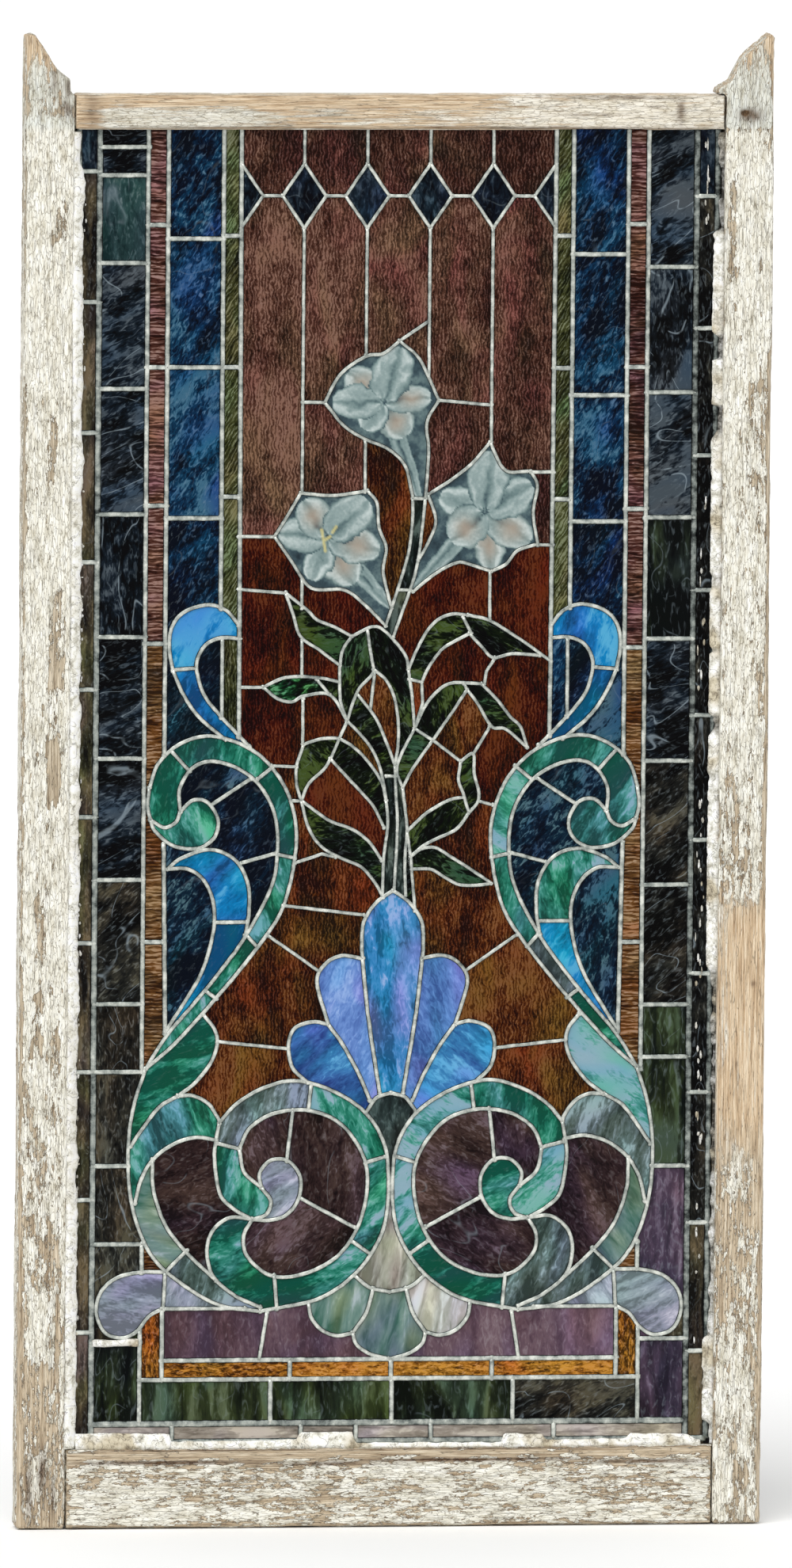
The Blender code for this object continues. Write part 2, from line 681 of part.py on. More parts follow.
# The sash and its putty
wood = material("wood_cream_paint", (0.72, 0.68, 0.57), 0.7)
old_putty = material("putty", (0.78, 0.76, 0.68), 0.8)
for member in [stile(-1, left_horn(), parts, cutters), stile(1, right_horn(), parts, cutters)] + rails(parts):
    member.data.materials.append(wood)
for fillet in putty(parts, cutters):
    fillet.data.materials.append(old_putty)

# The sheets of glass, each fitted to its opening between the leads
glass = {key: material("glass_" + key, color, 0.08) for key, color in COLORS.items()}
outlines = border_leads() + mirrored(scroll_leads() + palmette_leads()) + plant_leads()
openings = daylight(outlines, wide_leads())
glass_front = CAME_MID_Y - GLASS_THICKNESS / 2
glass_back = CAME_MID_Y + GLASS_THICKNESS / 2
holes = []
for name, seed, color in glass_seeds():
    loops = next(loops for members, loops in openings if holds(members, seed))
    holes.extend(loops)
    sheet = plate(name, [inset(loop, GAP) for loop in loops], glass_front, glass_back, parts)
    sheet.data.materials.append(glass[color])
print(f"{len(openings)} openings between the leads, glass in {len(holes)} of them")

# The cames, with the leads that cross over a sheet joined to them
lead = material("lead", (0.42, 0.43, 0.41), 0.45, 1.0)
rim = [(-PANEL_X, PANEL_LOW_Z), (PANEL_X, PANEL_LOW_Z), (PANEL_X, PANEL_TOP_Z), (-PANEL_X, PANEL_TOP_Z)]
network = plate("came_network", [rim] + holes, CAME_FRONT_Y, PANEL_BACK_Y, parts)
network.data.materials.append(lead)
strips = crossing_bars(crossing_leads())
bars = plate("crossing_leads", strips, CAME_FRONT_Y + 0.15, CAME_FRONT_Y + FLANGE, cutters)
cut(network, [bars], "UNION")
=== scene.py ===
# %% [markdown]
# # A leaded stained glass window, from lead plan to finished looks
#
# The CAD model gives the sash, the leads and the sheets of glass in one frame, in metres. This lesson
# covers them with what a person sees: crowned lead cames soldered at their joints, separate panes of
# rolled and streaky glass, painted lilies, cracked putty and old paint that has flaked off the wood.

# %% Load the frame
import json
import math
import random

import bpy
import numpy as np
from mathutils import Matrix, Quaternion, Vector
from mathutils.bvhtree import BVHTree
from mathutils.geometry import delaunay_2d_cdt

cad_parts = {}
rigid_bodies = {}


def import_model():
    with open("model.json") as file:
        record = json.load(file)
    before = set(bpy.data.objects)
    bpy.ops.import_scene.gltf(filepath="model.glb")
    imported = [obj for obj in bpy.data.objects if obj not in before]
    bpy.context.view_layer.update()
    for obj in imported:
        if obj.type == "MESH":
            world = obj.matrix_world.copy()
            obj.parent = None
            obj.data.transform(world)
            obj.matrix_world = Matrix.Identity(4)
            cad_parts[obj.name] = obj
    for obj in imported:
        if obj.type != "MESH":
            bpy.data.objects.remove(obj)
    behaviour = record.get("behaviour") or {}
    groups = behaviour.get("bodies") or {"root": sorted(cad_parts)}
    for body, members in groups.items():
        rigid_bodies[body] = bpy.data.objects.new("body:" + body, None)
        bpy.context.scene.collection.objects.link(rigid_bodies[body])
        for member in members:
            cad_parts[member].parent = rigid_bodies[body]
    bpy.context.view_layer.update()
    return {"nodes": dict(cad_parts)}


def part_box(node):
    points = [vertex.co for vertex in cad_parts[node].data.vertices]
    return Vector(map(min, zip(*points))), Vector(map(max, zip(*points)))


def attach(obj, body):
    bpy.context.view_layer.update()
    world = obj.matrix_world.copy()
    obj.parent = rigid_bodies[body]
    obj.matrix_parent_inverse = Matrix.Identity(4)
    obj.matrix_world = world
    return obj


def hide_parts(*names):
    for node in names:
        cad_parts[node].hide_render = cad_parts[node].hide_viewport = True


for thing in list(bpy.data.objects):
    bpy.data.objects.remove(thing, do_unlink=True)
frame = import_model()
rng = random.Random(11)
MM = 0.001

# %% [markdown]
# ## Measures
#
# Everything below is in millimetres on the front view: x from the middle of the sash, z up from its
# underside and y into it. The main ones come from the CAD model's own boxes.

# %% Measures taken from the frame
def box_mm(node):
    """Lowest and highest corner of a CAD node, in millimetres."""
    low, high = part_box(node)
    return low / MM, high / MM


panel_low, panel_high = box_mm("came_network")
stile_low, stile_high = box_mm("left_stile")
_, rail_high = box_mm("bottom_rail")
head_low, _ = box_mm("top_rail")
glass_low, glass_high = box_mm("field")

HALF_SASH = -stile_low.x
SIGHT_X = -stile_high.x
SHOULDER_X = rail_high.x
FRONT_Y = stile_low.y
BACK_Y = stile_high.y
SIGHT_Z = rail_high.z
HEAD_Z = head_low.z
PANEL_X = panel_high.x
PANEL_LOW_Z = panel_low.z
PANEL_TOP_Z = panel_high.z
LEAD_FRONT_Y = panel_low.y
LEAD_BACK_Y = panel_high.y
GLASS_FRONT_Y = glass_low.y
GLASS_BACK_Y = glass_high.y
# what the CAD model leaves free between one part and the next
GAP = 0.3
REBATE_WIDTH = SHOULDER_X + GAP - SIGHT_X
RAIL_Z = SIGHT_Z - REBATE_WIDTH

CAME_WIDTH = 5.5
BORDER_CAME_WIDTH = 7.0
print(f"sash {2 * HALF_SASH:.0f} mm wide and {BACK_Y - FRONT_Y:.0f} mm thick")
print(f"glass {GLASS_BACK_Y - GLASS_FRONT_Y:.0f} mm thick")

# %% [markdown]
# ## The lead plan
#
# The plan is drawn as a glazier would, one lead at a time. Straight leads have only their ends. Bent
# ones have the few points they pass through. What is alike on both sides is drawn once and mirrored.

# %% Lines for drawing leads
BORDER_X = 309.0
TILE_X = 259.0
RED_X = 238.0
BLUE_X = 181.0
FIELD_X = 163.0
UPRIGHT_X = 236.0
ROW_Z = 107.0
GREEN_TOP_Z = 152.5
AMBER_TOP_Z = 172.5
LOZENGE_Z = 1372.0
LOZENGE_HALF_WIDTH = 22.5
LOZENGE_HALF_HEIGHT = 33.0
LOZENGE_PITCH = 65.2


def straight(*points):
    """A lead that runs straight from point to point."""
    return [Vector(point) for point in points]


def level(low_x, high_x, z):
    """A level lead."""
    return straight((low_x, z), (high_x, z))


def plumb(x, low_z, high_z):
    """A plumb lead."""
    return straight((x, low_z), (x, high_z))


def off_line(point, start, stop):
    """Distance of a point from the line between two others."""
    along = stop - start
    if along.length < 1e-9:
        return (point - start).length
    return abs(along.normalized().cross(point - start))


def thin(points, tolerance):
    """Drop the points that lie within the tolerance of the line between their neighbours."""
    if len(points) < 3:
        return points
    distances = [off_line(point, points[0], points[-1]) for point in points[1:-1]]
    if max(distances) <= tolerance:
        return [points[0], points[-1]]
    split = distances.index(max(distances)) + 1
    return thin(points[:split + 1], tolerance)[:-1] + thin(points[split:], tolerance)


def curve(*points, steps=8, tolerance=0.12):
    """A lead bent smoothly through its points."""
    knots = [Vector(point) for point in points]
    ends = [2 * knots[0] - knots[1]] + knots + [2 * knots[-1] - knots[-2]]
    bent = [knots[0]]
    for before, start, stop, after in zip(ends, ends[1:], ends[2:], ends[3:]):
        for step in range(1, steps + 1):
            t = step / steps
            bent.append(0.5 * (2 * start + (stop - before) * t
                               + (2 * before - 5 * start + 4 * stop - after) * t ** 2
                               + (3 * start - before - 3 * stop + after) * t ** 3))
    return thin(bent, tolerance)


def mirrored(leads):
    """The leads and their mirror images across the middle of the sash."""
    return leads + [[Vector((-point.x, point.y)) for point in lead] for lead in leads]


print(f"lozenges {2 * LOZENGE_HALF_WIDTH:.0f} x {2 * LOZENGE_HALF_HEIGHT:.0f} mm")

# %% The wide came around the panel and inside its outermost row
def wide_leads():
    """The wider cames."""
    rim_x = PANEL_X - BORDER_CAME_WIDTH / 2
    low = PANEL_LOW_Z + BORDER_CAME_WIDTH / 2
    top = PANEL_TOP_Z - BORDER_CAME_WIDTH / 2
    return mirrored([plumb(-BORDER_X, low, top), plumb(-rim_x, low, top)]) + [
        level(-BORDER_X, BORDER_X, ROW_Z), level(-rim_x, rim_x, low), level(-rim_x, rim_x, top)]


wide = wide_leads()
print(f"{len(wide)} wide leads")

# %% The columns and rows of the border
def border_leads():
    """Columns, the rows below, and the leads between one tile and the next."""
    top = PANEL_TOP_Z - BORDER_CAME_WIDTH / 2
    sides = mirrored([
        plumb(-TILE_X, 472, top),
        plumb(-RED_X, 797, top),
        straight((-RED_X, 706), (-235, 510)),
        plumb(-BLUE_X, 948, top),
        straight((-FIELD_X, top), (-161, 816)),
        plumb(-257.5, 264, 293),
        plumb(-TILE_X, ROW_Z, 204),
        plumb(-UPRIGHT_X, GREEN_TOP_Z, 226),
        level(-BORDER_X, -TILE_X, 192),
    ])
    rows = [
        (-BORDER_X, -TILE_X, (1422, 1393, 1303, 1174, 1045, 919, 794, 669, 541, 471)),
        (-BORDER_X, -272, (374,)),
        (-BORDER_X, -257.5, (293,)),
        (TILE_X, BORDER_X, (1299, 1170, 1041, 916, 790, 662, 538, 484)),
        (272, BORDER_X, (371,)),
        (-PANEL_X, -BORDER_X, (1397, 1263, 1129, 996, 865, 734, 604, 471, 339, 202)),
        (BORDER_X, PANEL_X, (1372, 1236, 1105, 966, 837, 708, 570, 447, 312, 179)),
        (-TILE_X, -RED_X, (1342, 1196, 1054, 912, 605)),
        (RED_X, TILE_X, (1343, 1196, 1050, 907, 603)),
        (-RED_X, -BLUE_X, (1328, 1196, 1041)),
        (BLUE_X, RED_X, (1312, 1167, 1037)),
        (-BLUE_X, -FIELD_X, (1331, 1196, 1063)),
        (FIELD_X, BLUE_X, (1331, 1195, 1060)),
    ]
    below = [plumb(x, PANEL_LOW_Z + 3, ROW_Z) for x in (-225, -91, -34, 44, 172)]
    return sides + below + [
        level(-UPRIGHT_X, UPRIGHT_X, AMBER_TOP_Z),
        level(-TILE_X, TILE_X, GREEN_TOP_Z),
    ] + [level(low_x, high_x, z) for low_x, high_x, levels in rows for z in levels] + [
        plumb(x, ROW_Z, GREEN_TOP_Z) for x in (-123, 3, 129)] + [
        plumb(x, GREEN_TOP_Z, AMBER_TOP_Z) for x in (-103, 2, 107)]


border = border_leads()
print(f"{len(border)} leads in the border")

# %% The scrolls of the left side
# from the hook at the top, down the scroll and round the ring to the foot
scroll_leads = [
    # upper hook with its tail
    curve((-230, 885), (-234, 908), (-231, 930), (-218, 945), (-194, 952), (-175, 946), (-162, 931)),
    curve((-161, 917), (-180, 918), (-196, 911), (-205, 895), (-204, 878), (-196, 857),
          (-176, 833), (-150, 806)),
    curve((-230, 885), (-219, 860), (-202, 836), (-175, 813)),
    straight((-230, 885), (-206, 887)),
    plumb(-179, 836, 917),
    # long scroll, with its eye
    curve((-253, 764), (-244, 789), (-222, 809), (-194, 817), (-165, 811), (-137, 795),
          (-114, 766), (-102, 730), (-102, 692), (-114, 640), (-140, 599), (-183, 546),
          (-225, 500), (-255, 474)),
    curve((-253, 764), (-255, 745), (-252, 731)),
    curve((-221, 739), (-222, 762), (-210, 783), (-190, 791), (-163, 784), (-140, 767),
          (-124, 738), (-120, 702), (-126, 662), (-151, 613), (-177, 576), (-208, 538),
          (-233, 509), (-255, 474)),
    curve((-221, 739), (-208, 751), (-192, 748), (-182, 730), (-186, 712), (-203, 701),
          (-228, 704), (-247, 719), (-252, 731)),
    curve((-252, 731), (-238, 723), (-226, 728), (-221, 739)),
    straight((-231, 802), (-212, 781)),
    straight((-142, 772), (-126, 785)),
    straight((-121, 695), (-102, 691)),
    straight((-151, 611), (-140, 599)),
    straight((-193, 554), (-182, 546)),
    straight((-189, 746), (-148, 773)),
    straight((-158, 686), (-121, 696)),
    # lower hook
    curve((-234, 680), (-220, 691), (-192, 700), (-166, 691), (-151, 667), (-149, 636), (-153, 611)),
    curve((-234, 680), (-213, 680), (-196, 668), (-186, 645), (-186, 615), (-197, 575),
          (-217, 540), (-235, 512)),
    straight((-185, 625), (-151, 625)),
    # two leaves and the side ribbon
    curve((-195, 529), (-184, 515), (-181, 499), (-188, 479), (-204, 459), (-221, 446)),
    curve((-221, 446), (-240, 435), (-255, 416), (-270, 394)),
    curve((-221, 446), (-205, 446), (-190, 438), (-180, 424), (-178, 418)),
    curve((-181, 400), (-203, 403), (-226, 396), (-247, 380), (-259, 359), (-265, 335)),
    curve((-255, 474), (-266, 440), (-272, 400), (-271, 352), (-262, 312), (-245, 278),
          (-212, 249), (-175, 229), (-134, 223)),
    curve((-247, 380), (-246, 350), (-234, 314), (-212, 285), (-180, 255)),
    straight((-211, 286), (-232, 265)),
    # ring with its arm, ball and comma
    curve((-178, 418), (-160, 438), (-132, 454), (-100, 461), (-62, 451), (-27, 428),
          (-7, 396), (-2, 360), (-4, 320), (-14, 291), (-37, 260), (-75, 235), (-134, 223)),
    curve((-157, 391), (-146, 413), (-120, 428), (-84, 430), (-52, 416), (-29, 384),
          (-24, 351), (-33, 311), (-55, 279), (-90, 261), (-124, 260), (-148, 280),
          (-152, 301), (-143, 318)),
    curve((-178, 418), (-183, 385), (-177, 345), (-161, 328), (-143, 318)),
    curve((-157, 391), (-152, 367), (-134, 351)),
    curve((-134, 351), (-124, 337), (-129, 323), (-143, 318)),
    curve((-134, 351), (-136, 366), (-124, 379), (-106, 378), (-94, 362), (-95, 340),
          (-107, 323), (-124, 317), (-143, 318)),
    curve((-143, 318), (-166, 320), (-184, 307), (-190, 285), (-183, 259), (-160, 239), (-134, 227)),
    straight((-180, 397), (-157, 391)),
    straight((-83, 456), (-86, 431)),
    straight((-6, 382), (-26, 376)),
    straight((-40, 295), (-21, 282)),
    straight((-120, 260), (-117, 225)),
    straight((-102, 431), (-108, 378)),
    straight((-94, 340), (-37, 309)),
    # foot and base
    curve((-233, 264), (-260, 264), (-284, 258), (-300, 243), (-304, 222), (-295, 202),
          (-277, 196), (-262, 203), (-250, 218), (-236, 226)),
    straight((-236, 226), (-150, 226)),
    straight((-235, 226), (-233, 264)),
    straight((-127, 222), (-135, AMBER_TOP_Z)),
]
print(f"{len(scroll_leads)} leads")

# %% The left half of the palmette and the shell
# petals above the rings, and the lobes of the shell below
palmette_leads = [
    curve((0, 657), (-17, 645), (-30, 625), (-32, 600), (-31, 587)),
    curve((-31, 587), (-25, 530), (-12, 448)),
    curve((-31, 587), (-53, 590), (-70, 581), (-78, 562), (-66, 519)),
    curve((-66, 519), (-52, 500), (-35, 470), (-22, 440)),
    curve((-66, 519), (-82, 522), (-101, 515), (-107, 498), (-103, 475), (-87, 459)),
    curve((-26, 428), (-15, 443), (0, 448)),
    curve((-84, 231), (-81, 216), (-70, 203), (-54, 197), (-38, 200)),
    curve((-38, 200), (-34, 188), (-20, 178), (0, AMBER_TOP_Z)),
    curve((-38, 200), (-24, 221), (-17, 246)),
    curve((-36, 259), (-21, 247), (0, 242)),
]
print(f"{len(palmette_leads)} leads")

# %% The lilies, stems and leaves
# outlines of the plant, which is drawn freely and not mirrored
plant_leads = [
    # upper lily
    curve((2, 1223), (19, 1209), (29, 1193), (43, 1162)),
    curve((43, 1162), (31, 1139), (33, 1109), (30, 1061)),
    curve((17, 1061), (9, 1094), (-9, 1112), (-33, 1122), (-55, 1136), (-75, 1160)),
    curve((-75, 1160), (-59, 1189), (-33, 1207), (-15, 1210), (2, 1223)),
    straight((17, 1061), (30, 1061)),
    # left lily
    curve((-126, 1022), (-114, 1041), (-99, 1067)),
    curve((-99, 1067), (-66, 1064), (-30, 1069)),
    curve((-30, 1069), (-20, 1056), (-18, 1032), (-10, 1010), (-13, 985), (-4, 948)),
    curve((-126, 1022), (-107, 995), (-87, 969), (-53, 967), (-31, 951), (-10, 930)),
    # right lily
    curve((97, 1119), (102, 1107), (114, 1089), (139, 1089)),
    curve((139, 1089), (146, 1074), (142, 1046), (147, 1014)),
    curve((147, 1014), (126, 1007), (114, 993), (99, 986)),
    curve((99, 986), (80, 992), (64, 995), (40, 983), (18, 965)),
    curve((97, 1119), (77, 1096), (55, 1079), (33, 1065)),
    curve((33, 1065), (41, 1038), (33, 1015), (23, 997)),
    # long stem
    curve((17, 1061), (17, 1038), (13, 1005), (3, 970), (-10, 930)),
    curve((30, 1061), (28, 1040), (23, 997), (15, 967), (-2, 919)),
    straight((3, 967), (15, 967)),
    # leaves on the left, from the top
    curve((-114, 964), (-92, 947), (-81, 936), (-63, 929), (-45, 919)),
    curve((-114, 964), (-106, 942), (-98, 919), (-78, 905), (-57, 889)),
    curve((-45, 919), (-54, 906), (-57, 889), (-57, 872), (-56, 852), (-49, 832)),
    curve((-45, 919), (-24, 929), (-10, 924), (10, 901), (14, 885)),
    curve((-29, 927), (-24, 895), (-22, 885), (-25, 878), (-39, 862), (-49, 832)),
    curve((-57, 872), (-74, 876), (-98, 878), (-117, 876), (-136, 867)),
    curve((-136, 867), (-121, 855), (-106, 852), (-94, 858), (-67, 859), (-49, 832)),
    straight((-81, 875), (-67, 859)),
    curve((-49, 832), (-35, 818), (-22, 801), (-13, 778), (-8, 750)),
    curve((-39, 860), (-20, 836), (-9, 812), (1, 786)),
    curve((-94, 808), (-75, 814), (-57, 814)),
    straight((-49, 832), (-57, 814), (-66, 793)),
    curve((-66, 793), (-73, 782), (-88, 768), (-96, 750)),
    curve((-94, 808), (-101, 786), (-101, 767), (-96, 750)),
    curve((-57, 814), (-43, 806), (-26, 789), (-13, 769), (-8, 750)),
    curve((-66, 793), (-54, 780), (-36, 761), (-21, 744), (-10, 722)),
    curve((-96, 750), (-86, 743), (-66, 729), (-42, 720), (-25, 707), (-12, 688)),
    curve((-96, 750), (-88, 722), (-75, 703), (-55, 691), (-34, 682), (-20, 667), (-10, 650)),
    # the bundle of stems
    curve((14, 885), (18, 857), (21, 824)),
    curve((-22, 885), (-9, 874), (0, 855), (4, 829), (4, 808), (1, 786)),
    straight((-21, 883), (-25, 844)),
    curve((-8, 750), (-6, 725), (-10, 690), (-11, 650)),
    curve((1, 786), (2, 757), (4, 722), (1, 657)),
    curve((9, 763), (12, 740), (14, 718), (12, 690), (13, 652)),
    straight((-8, 775), (1, 775)),
    # leaves on the right, from the top
    curve((14, 885), (21, 902), (32, 923), (44, 936), (59, 942), (75, 941)),
    curve((75, 941), (98, 935), (131, 915), (162, 893)),
    curve((28, 872), (36, 889), (49, 906), (64, 915), (77, 922)),
    curve((77, 922), (90, 908), (102, 897), (122, 901), (150, 899)),
    straight((70, 939), (79, 922)),
    straight((15, 875), (28, 872), (29, 850), (21, 824)),
    curve((21, 824), (32, 848), (45, 863), (60, 871), (90, 870)),
    curve((75, 864), (58, 838), (40, 812)),
    straight((75, 864), (72, 870)),
    curve((90, 870), (107, 853), (120, 836), (131, 825), (138, 804)),
    curve((75, 864), (86, 850), (101, 826), (116, 823), (138, 804)),
    curve((21, 824), (7, 797), (3, 780), (9, 763)),
    curve((40, 812), (20, 784), (9, 763)),
    straight((21, 824), (40, 812), (69, 790)),
    curve((69, 790), (67, 771), (72, 757), (78, 737)),
    curve((69, 790), (82, 798), (83, 778), (88, 759), (87, 748), (78, 737)),
    curve((14, 718), (25, 729), (37, 739), (57, 750), (72, 753)),
    curve((78, 737), (65, 720), (46, 711), (31, 703), (18, 692)),
    curve((18, 692), (29, 700), (44, 701), (59, 692), (77, 681), (102, 664)),
    curve((102, 664), (85, 662), (68, 663), (53, 671), (38, 679), (19, 679)),
    straight((14, 718), (18, 692), (19, 679), (23, 636)),
]
print(f"{len(plant_leads)} leads")

# %% The leads across the field
def field_leads():
    """The band of lozenges, the long bars above and the short leads between leaves and scrolls."""
    leads = []
    foot_z = LOZENGE_Z - LOZENGE_HALF_HEIGHT
    head_z = LOZENGE_Z + LOZENGE_HALF_HEIGHT
    inner = 0.5 * LOZENGE_PITCH
    outer = 1.5 * LOZENGE_PITCH
    for x, stop_z in ((-outer, 1067), (-inner, 1208), (inner, 1186), (outer, 1119)):
        tips = [(x, foot_z), (x - LOZENGE_HALF_WIDTH, LOZENGE_Z),
                (x, head_z), (x + LOZENGE_HALF_WIDTH, LOZENGE_Z)]
        leads += [straight(start, stop) for start, stop in zip(tips, tips[1:] + tips[:1])]
        leads += [plumb(x, stop_z, foot_z), plumb(x, head_z, PANEL_TOP_Z - 3)]
    reach = inner - LOZENGE_HALF_WIDTH
    leads += [level(x - reach, x + reach, LOZENGE_Z) for x in (-LOZENGE_PITCH, 0, LOZENGE_PITCH)]
    corner = FIELD_X - LOZENGE_HALF_WIDTH
    leads += mirrored([
        straight((-FIELD_X, head_z), (-corner, LOZENGE_Z)),
        straight((-corner, LOZENGE_Z), (-FIELD_X, foot_z)),
        level(-corner, -outer - LOZENGE_HALF_WIDTH, LOZENGE_Z),
        straight((-181, 502), (-107, 494)),
        straight((-129, 611), (-76, 574)),
    ])
    return leads + [
        plumb(-inner, 1068, 1121),
        straight((2, 1223), (inner, 1244)),
        level(-outer, -75, 1160),
        straight((43, 1162), (outer, 1157)),
        level(139, FIELD_X, 1088),
        level(147, FIELD_X, 1013),
        level(-FIELD_X, -126, 1022),
        straight((-FIELD_X, 968), (-114, 964)),
        plumb(-97, 948, 978),
        plumb(-96.5, 878, 915),
        plumb(-95, 808, 855),
        plumb(outer, 937, 986),
        level(-161, -136, 867),
        straight((104, 897), (95, 883), (93, 870)),
        straight((99, 826), (86, 804), (82, 798)),
        straight((88, 749), (103, 745)),
        straight((-127, 786), (-101, 785)),
        level(-107, -96, 750),
        straight((-102, 686), (-74, 695), (-60, 692)),
        straight((-114, 642), (-30, 632)),
    ]


scrolls = mirrored(scroll_leads + palmette_leads)
plant = plant_leads + field_leads()
leads = border + scrolls + plant
length = sum((stop - start).length for lead in leads + wide for start, stop in zip(lead, lead[1:]))
print(f"{len(leads)} narrow leads and {len(wide)} wide ones, {length / 1000:.1f} m in all")

# %% [markdown]
# ## Finding the panes
#
# Every lead is laid over the panel as a strip of its own width, and a Delaunay triangulation splits
# the panel along all the strips. A triangle under no strip is daylight. Daylight triangles that share
# an edge are one opening, and each opening takes one pane, cut a little larger to sit in the cames.

# %% Strips of lead and the daylight between them
def area(loop):
    """Signed area of a loop."""
    return 0.5 * sum(start.cross(stop) for start, stop in zip(loop, loop[1:] + loop[:1]))


JOINT_SIDES = 8
SMALLEST_PANE = 6


def stroke(lead, half, corners, faces):
    """Add a lead to the lists as mitred quads, with an eight-sided joint at each end."""
    sides = []
    for index, point in enumerate(lead):
        arms = [(b - a).normalized() for a, b in zip(lead, lead[1:]) if point in (a, b)]
        along = sum(arms, Vector((0, 0))).normalized()
        across = Vector((-along.y, along.x))
        reach = half / max(0.5, across.dot(Vector((-arms[0].y, arms[0].x))))
        sides.append((point + across * reach, point - across * reach))
    for (left, right), (next_left, next_right) in zip(sides, sides[1:]):
        faces.append(list(range(len(corners), len(corners) + 4)))
        corners.extend((left, right, next_right, next_left))
    for end in (lead[0], lead[-1]):
        faces.append(list(range(len(corners), len(corners) + JOINT_SIDES)))
        turns = [math.radians(360 / JOINT_SIDES * (step + 0.5)) for step in range(JOINT_SIDES)]
        corners.extend(end + half * Vector((math.cos(turn), math.sin(turn))) for turn in turns)


def tidy(loop, tolerance=0.15):
    """Thin a closed loop."""
    far = max(range(len(loop)), key=lambda index: (loop[index] - loop[0]).length)
    return thin(loop[:far + 1], tolerance)[:-1] + thin(loop[far:] + loop[:1], tolerance)[:-1]


def daylight():
    """The openings between the leads: each a list of triangles and its rim."""
    corners = [Vector((x, z)) for x in (-PANEL_X, PANEL_X) for z in (PANEL_LOW_Z, PANEL_TOP_Z)]
    faces = []
    for lead in leads:
        stroke(lead, CAME_WIDTH / 2, corners, faces)
    for lead in wide:
        stroke(lead, BORDER_CAME_WIDTH / 2, corners, faces)
    points, _, triangles, _, _, sources = delaunay_2d_cdt(corners, [], faces, 0, 0.01)
    free = [tri for tri, source in zip(triangles, sources) if not source]
    owner = {edge: number for number, tri in enumerate(free) for edge in zip(tri, tri[1:] + tri[:1])}
    openings, seen = [], set()
    for first in range(len(free)):
        queue, members, rim = [first], [], {}
        while queue:
            number = queue.pop()
            if number in seen:
                continue
            seen.add(number)
            members.append([points[corner] for corner in free[number]])
            for start, stop in zip(free[number], free[number][1:] + free[number][:1]):
                other = owner.get((stop, start))
                if other is None:
                    rim[start] = stop
                else:
                    queue.append(other)
        if members:
            loop = [next(iter(rim))]
            while rim[loop[-1]] != loop[0] and len(loop) <= len(rim):
                loop.append(rim[loop[-1]])
            openings.append((members, tidy([points[corner] for corner in loop])))
    return openings


openings = [(members, rim) for members, rim in daylight() if area(rim) > SMALLEST_PANE]
print(f"{len(openings)} panes, the smallest {min(area(rim) for _, rim in openings):.0f} mm2")

# %% [markdown]
# ## What glass each pane is
#
# A pane takes its glass from the CAD sheet it stands in. The glazier cut some panes of a sheet from
# other glass, such as the dark blue lozenges or the violet petals, and the list below names those.

# %% The CAD sheets and the panes of another glass
def tree_of(node):
    """A search tree of a CAD node's faces, in millimetres."""
    mesh = frame["nodes"][node].data
    return BVHTree.FromPolygons([vertex.co / MM for vertex in mesh.vertices],
                                [list(face.vertices) for face in mesh.polygons])


sheet_glass = {node: thing.material_slots[0].material.name.replace("glass_", "")
               for node, thing in frame["nodes"].items()
               if thing.material_slots[0].material.name.startswith("glass_")}
sheets = {node: tree_of(node) for node in sheet_glass}


def sheet_under(x, z):
    """The CAD sheet behind a point on the front, or the nearest one."""
    eye = Vector((x, GLASS_FRONT_Y - 5, z))
    for node, tree in sheets.items():
        if tree.ray_cast(eye, Vector((0, 1, 0)), 8)[0]:
            return node
    spot = Vector((x, GLASS_FRONT_Y, z))
    return min(sheets, key=lambda node: sheets[node].find_nearest(spot)[3])


def holds(members, x, z):
    """Say whether a point lies in one of an opening's triangles."""
    spot = Vector((x, z))
    return any(min((b - a).cross(spot - a), (c - b).cross(spot - b), (a - c).cross(spot - c)) >= 0
               for a, b, c in members)


# panes of a teal sheet are of pearly glass, unless the list below names them
SAME_GLASS = {"teal": "pearl"}
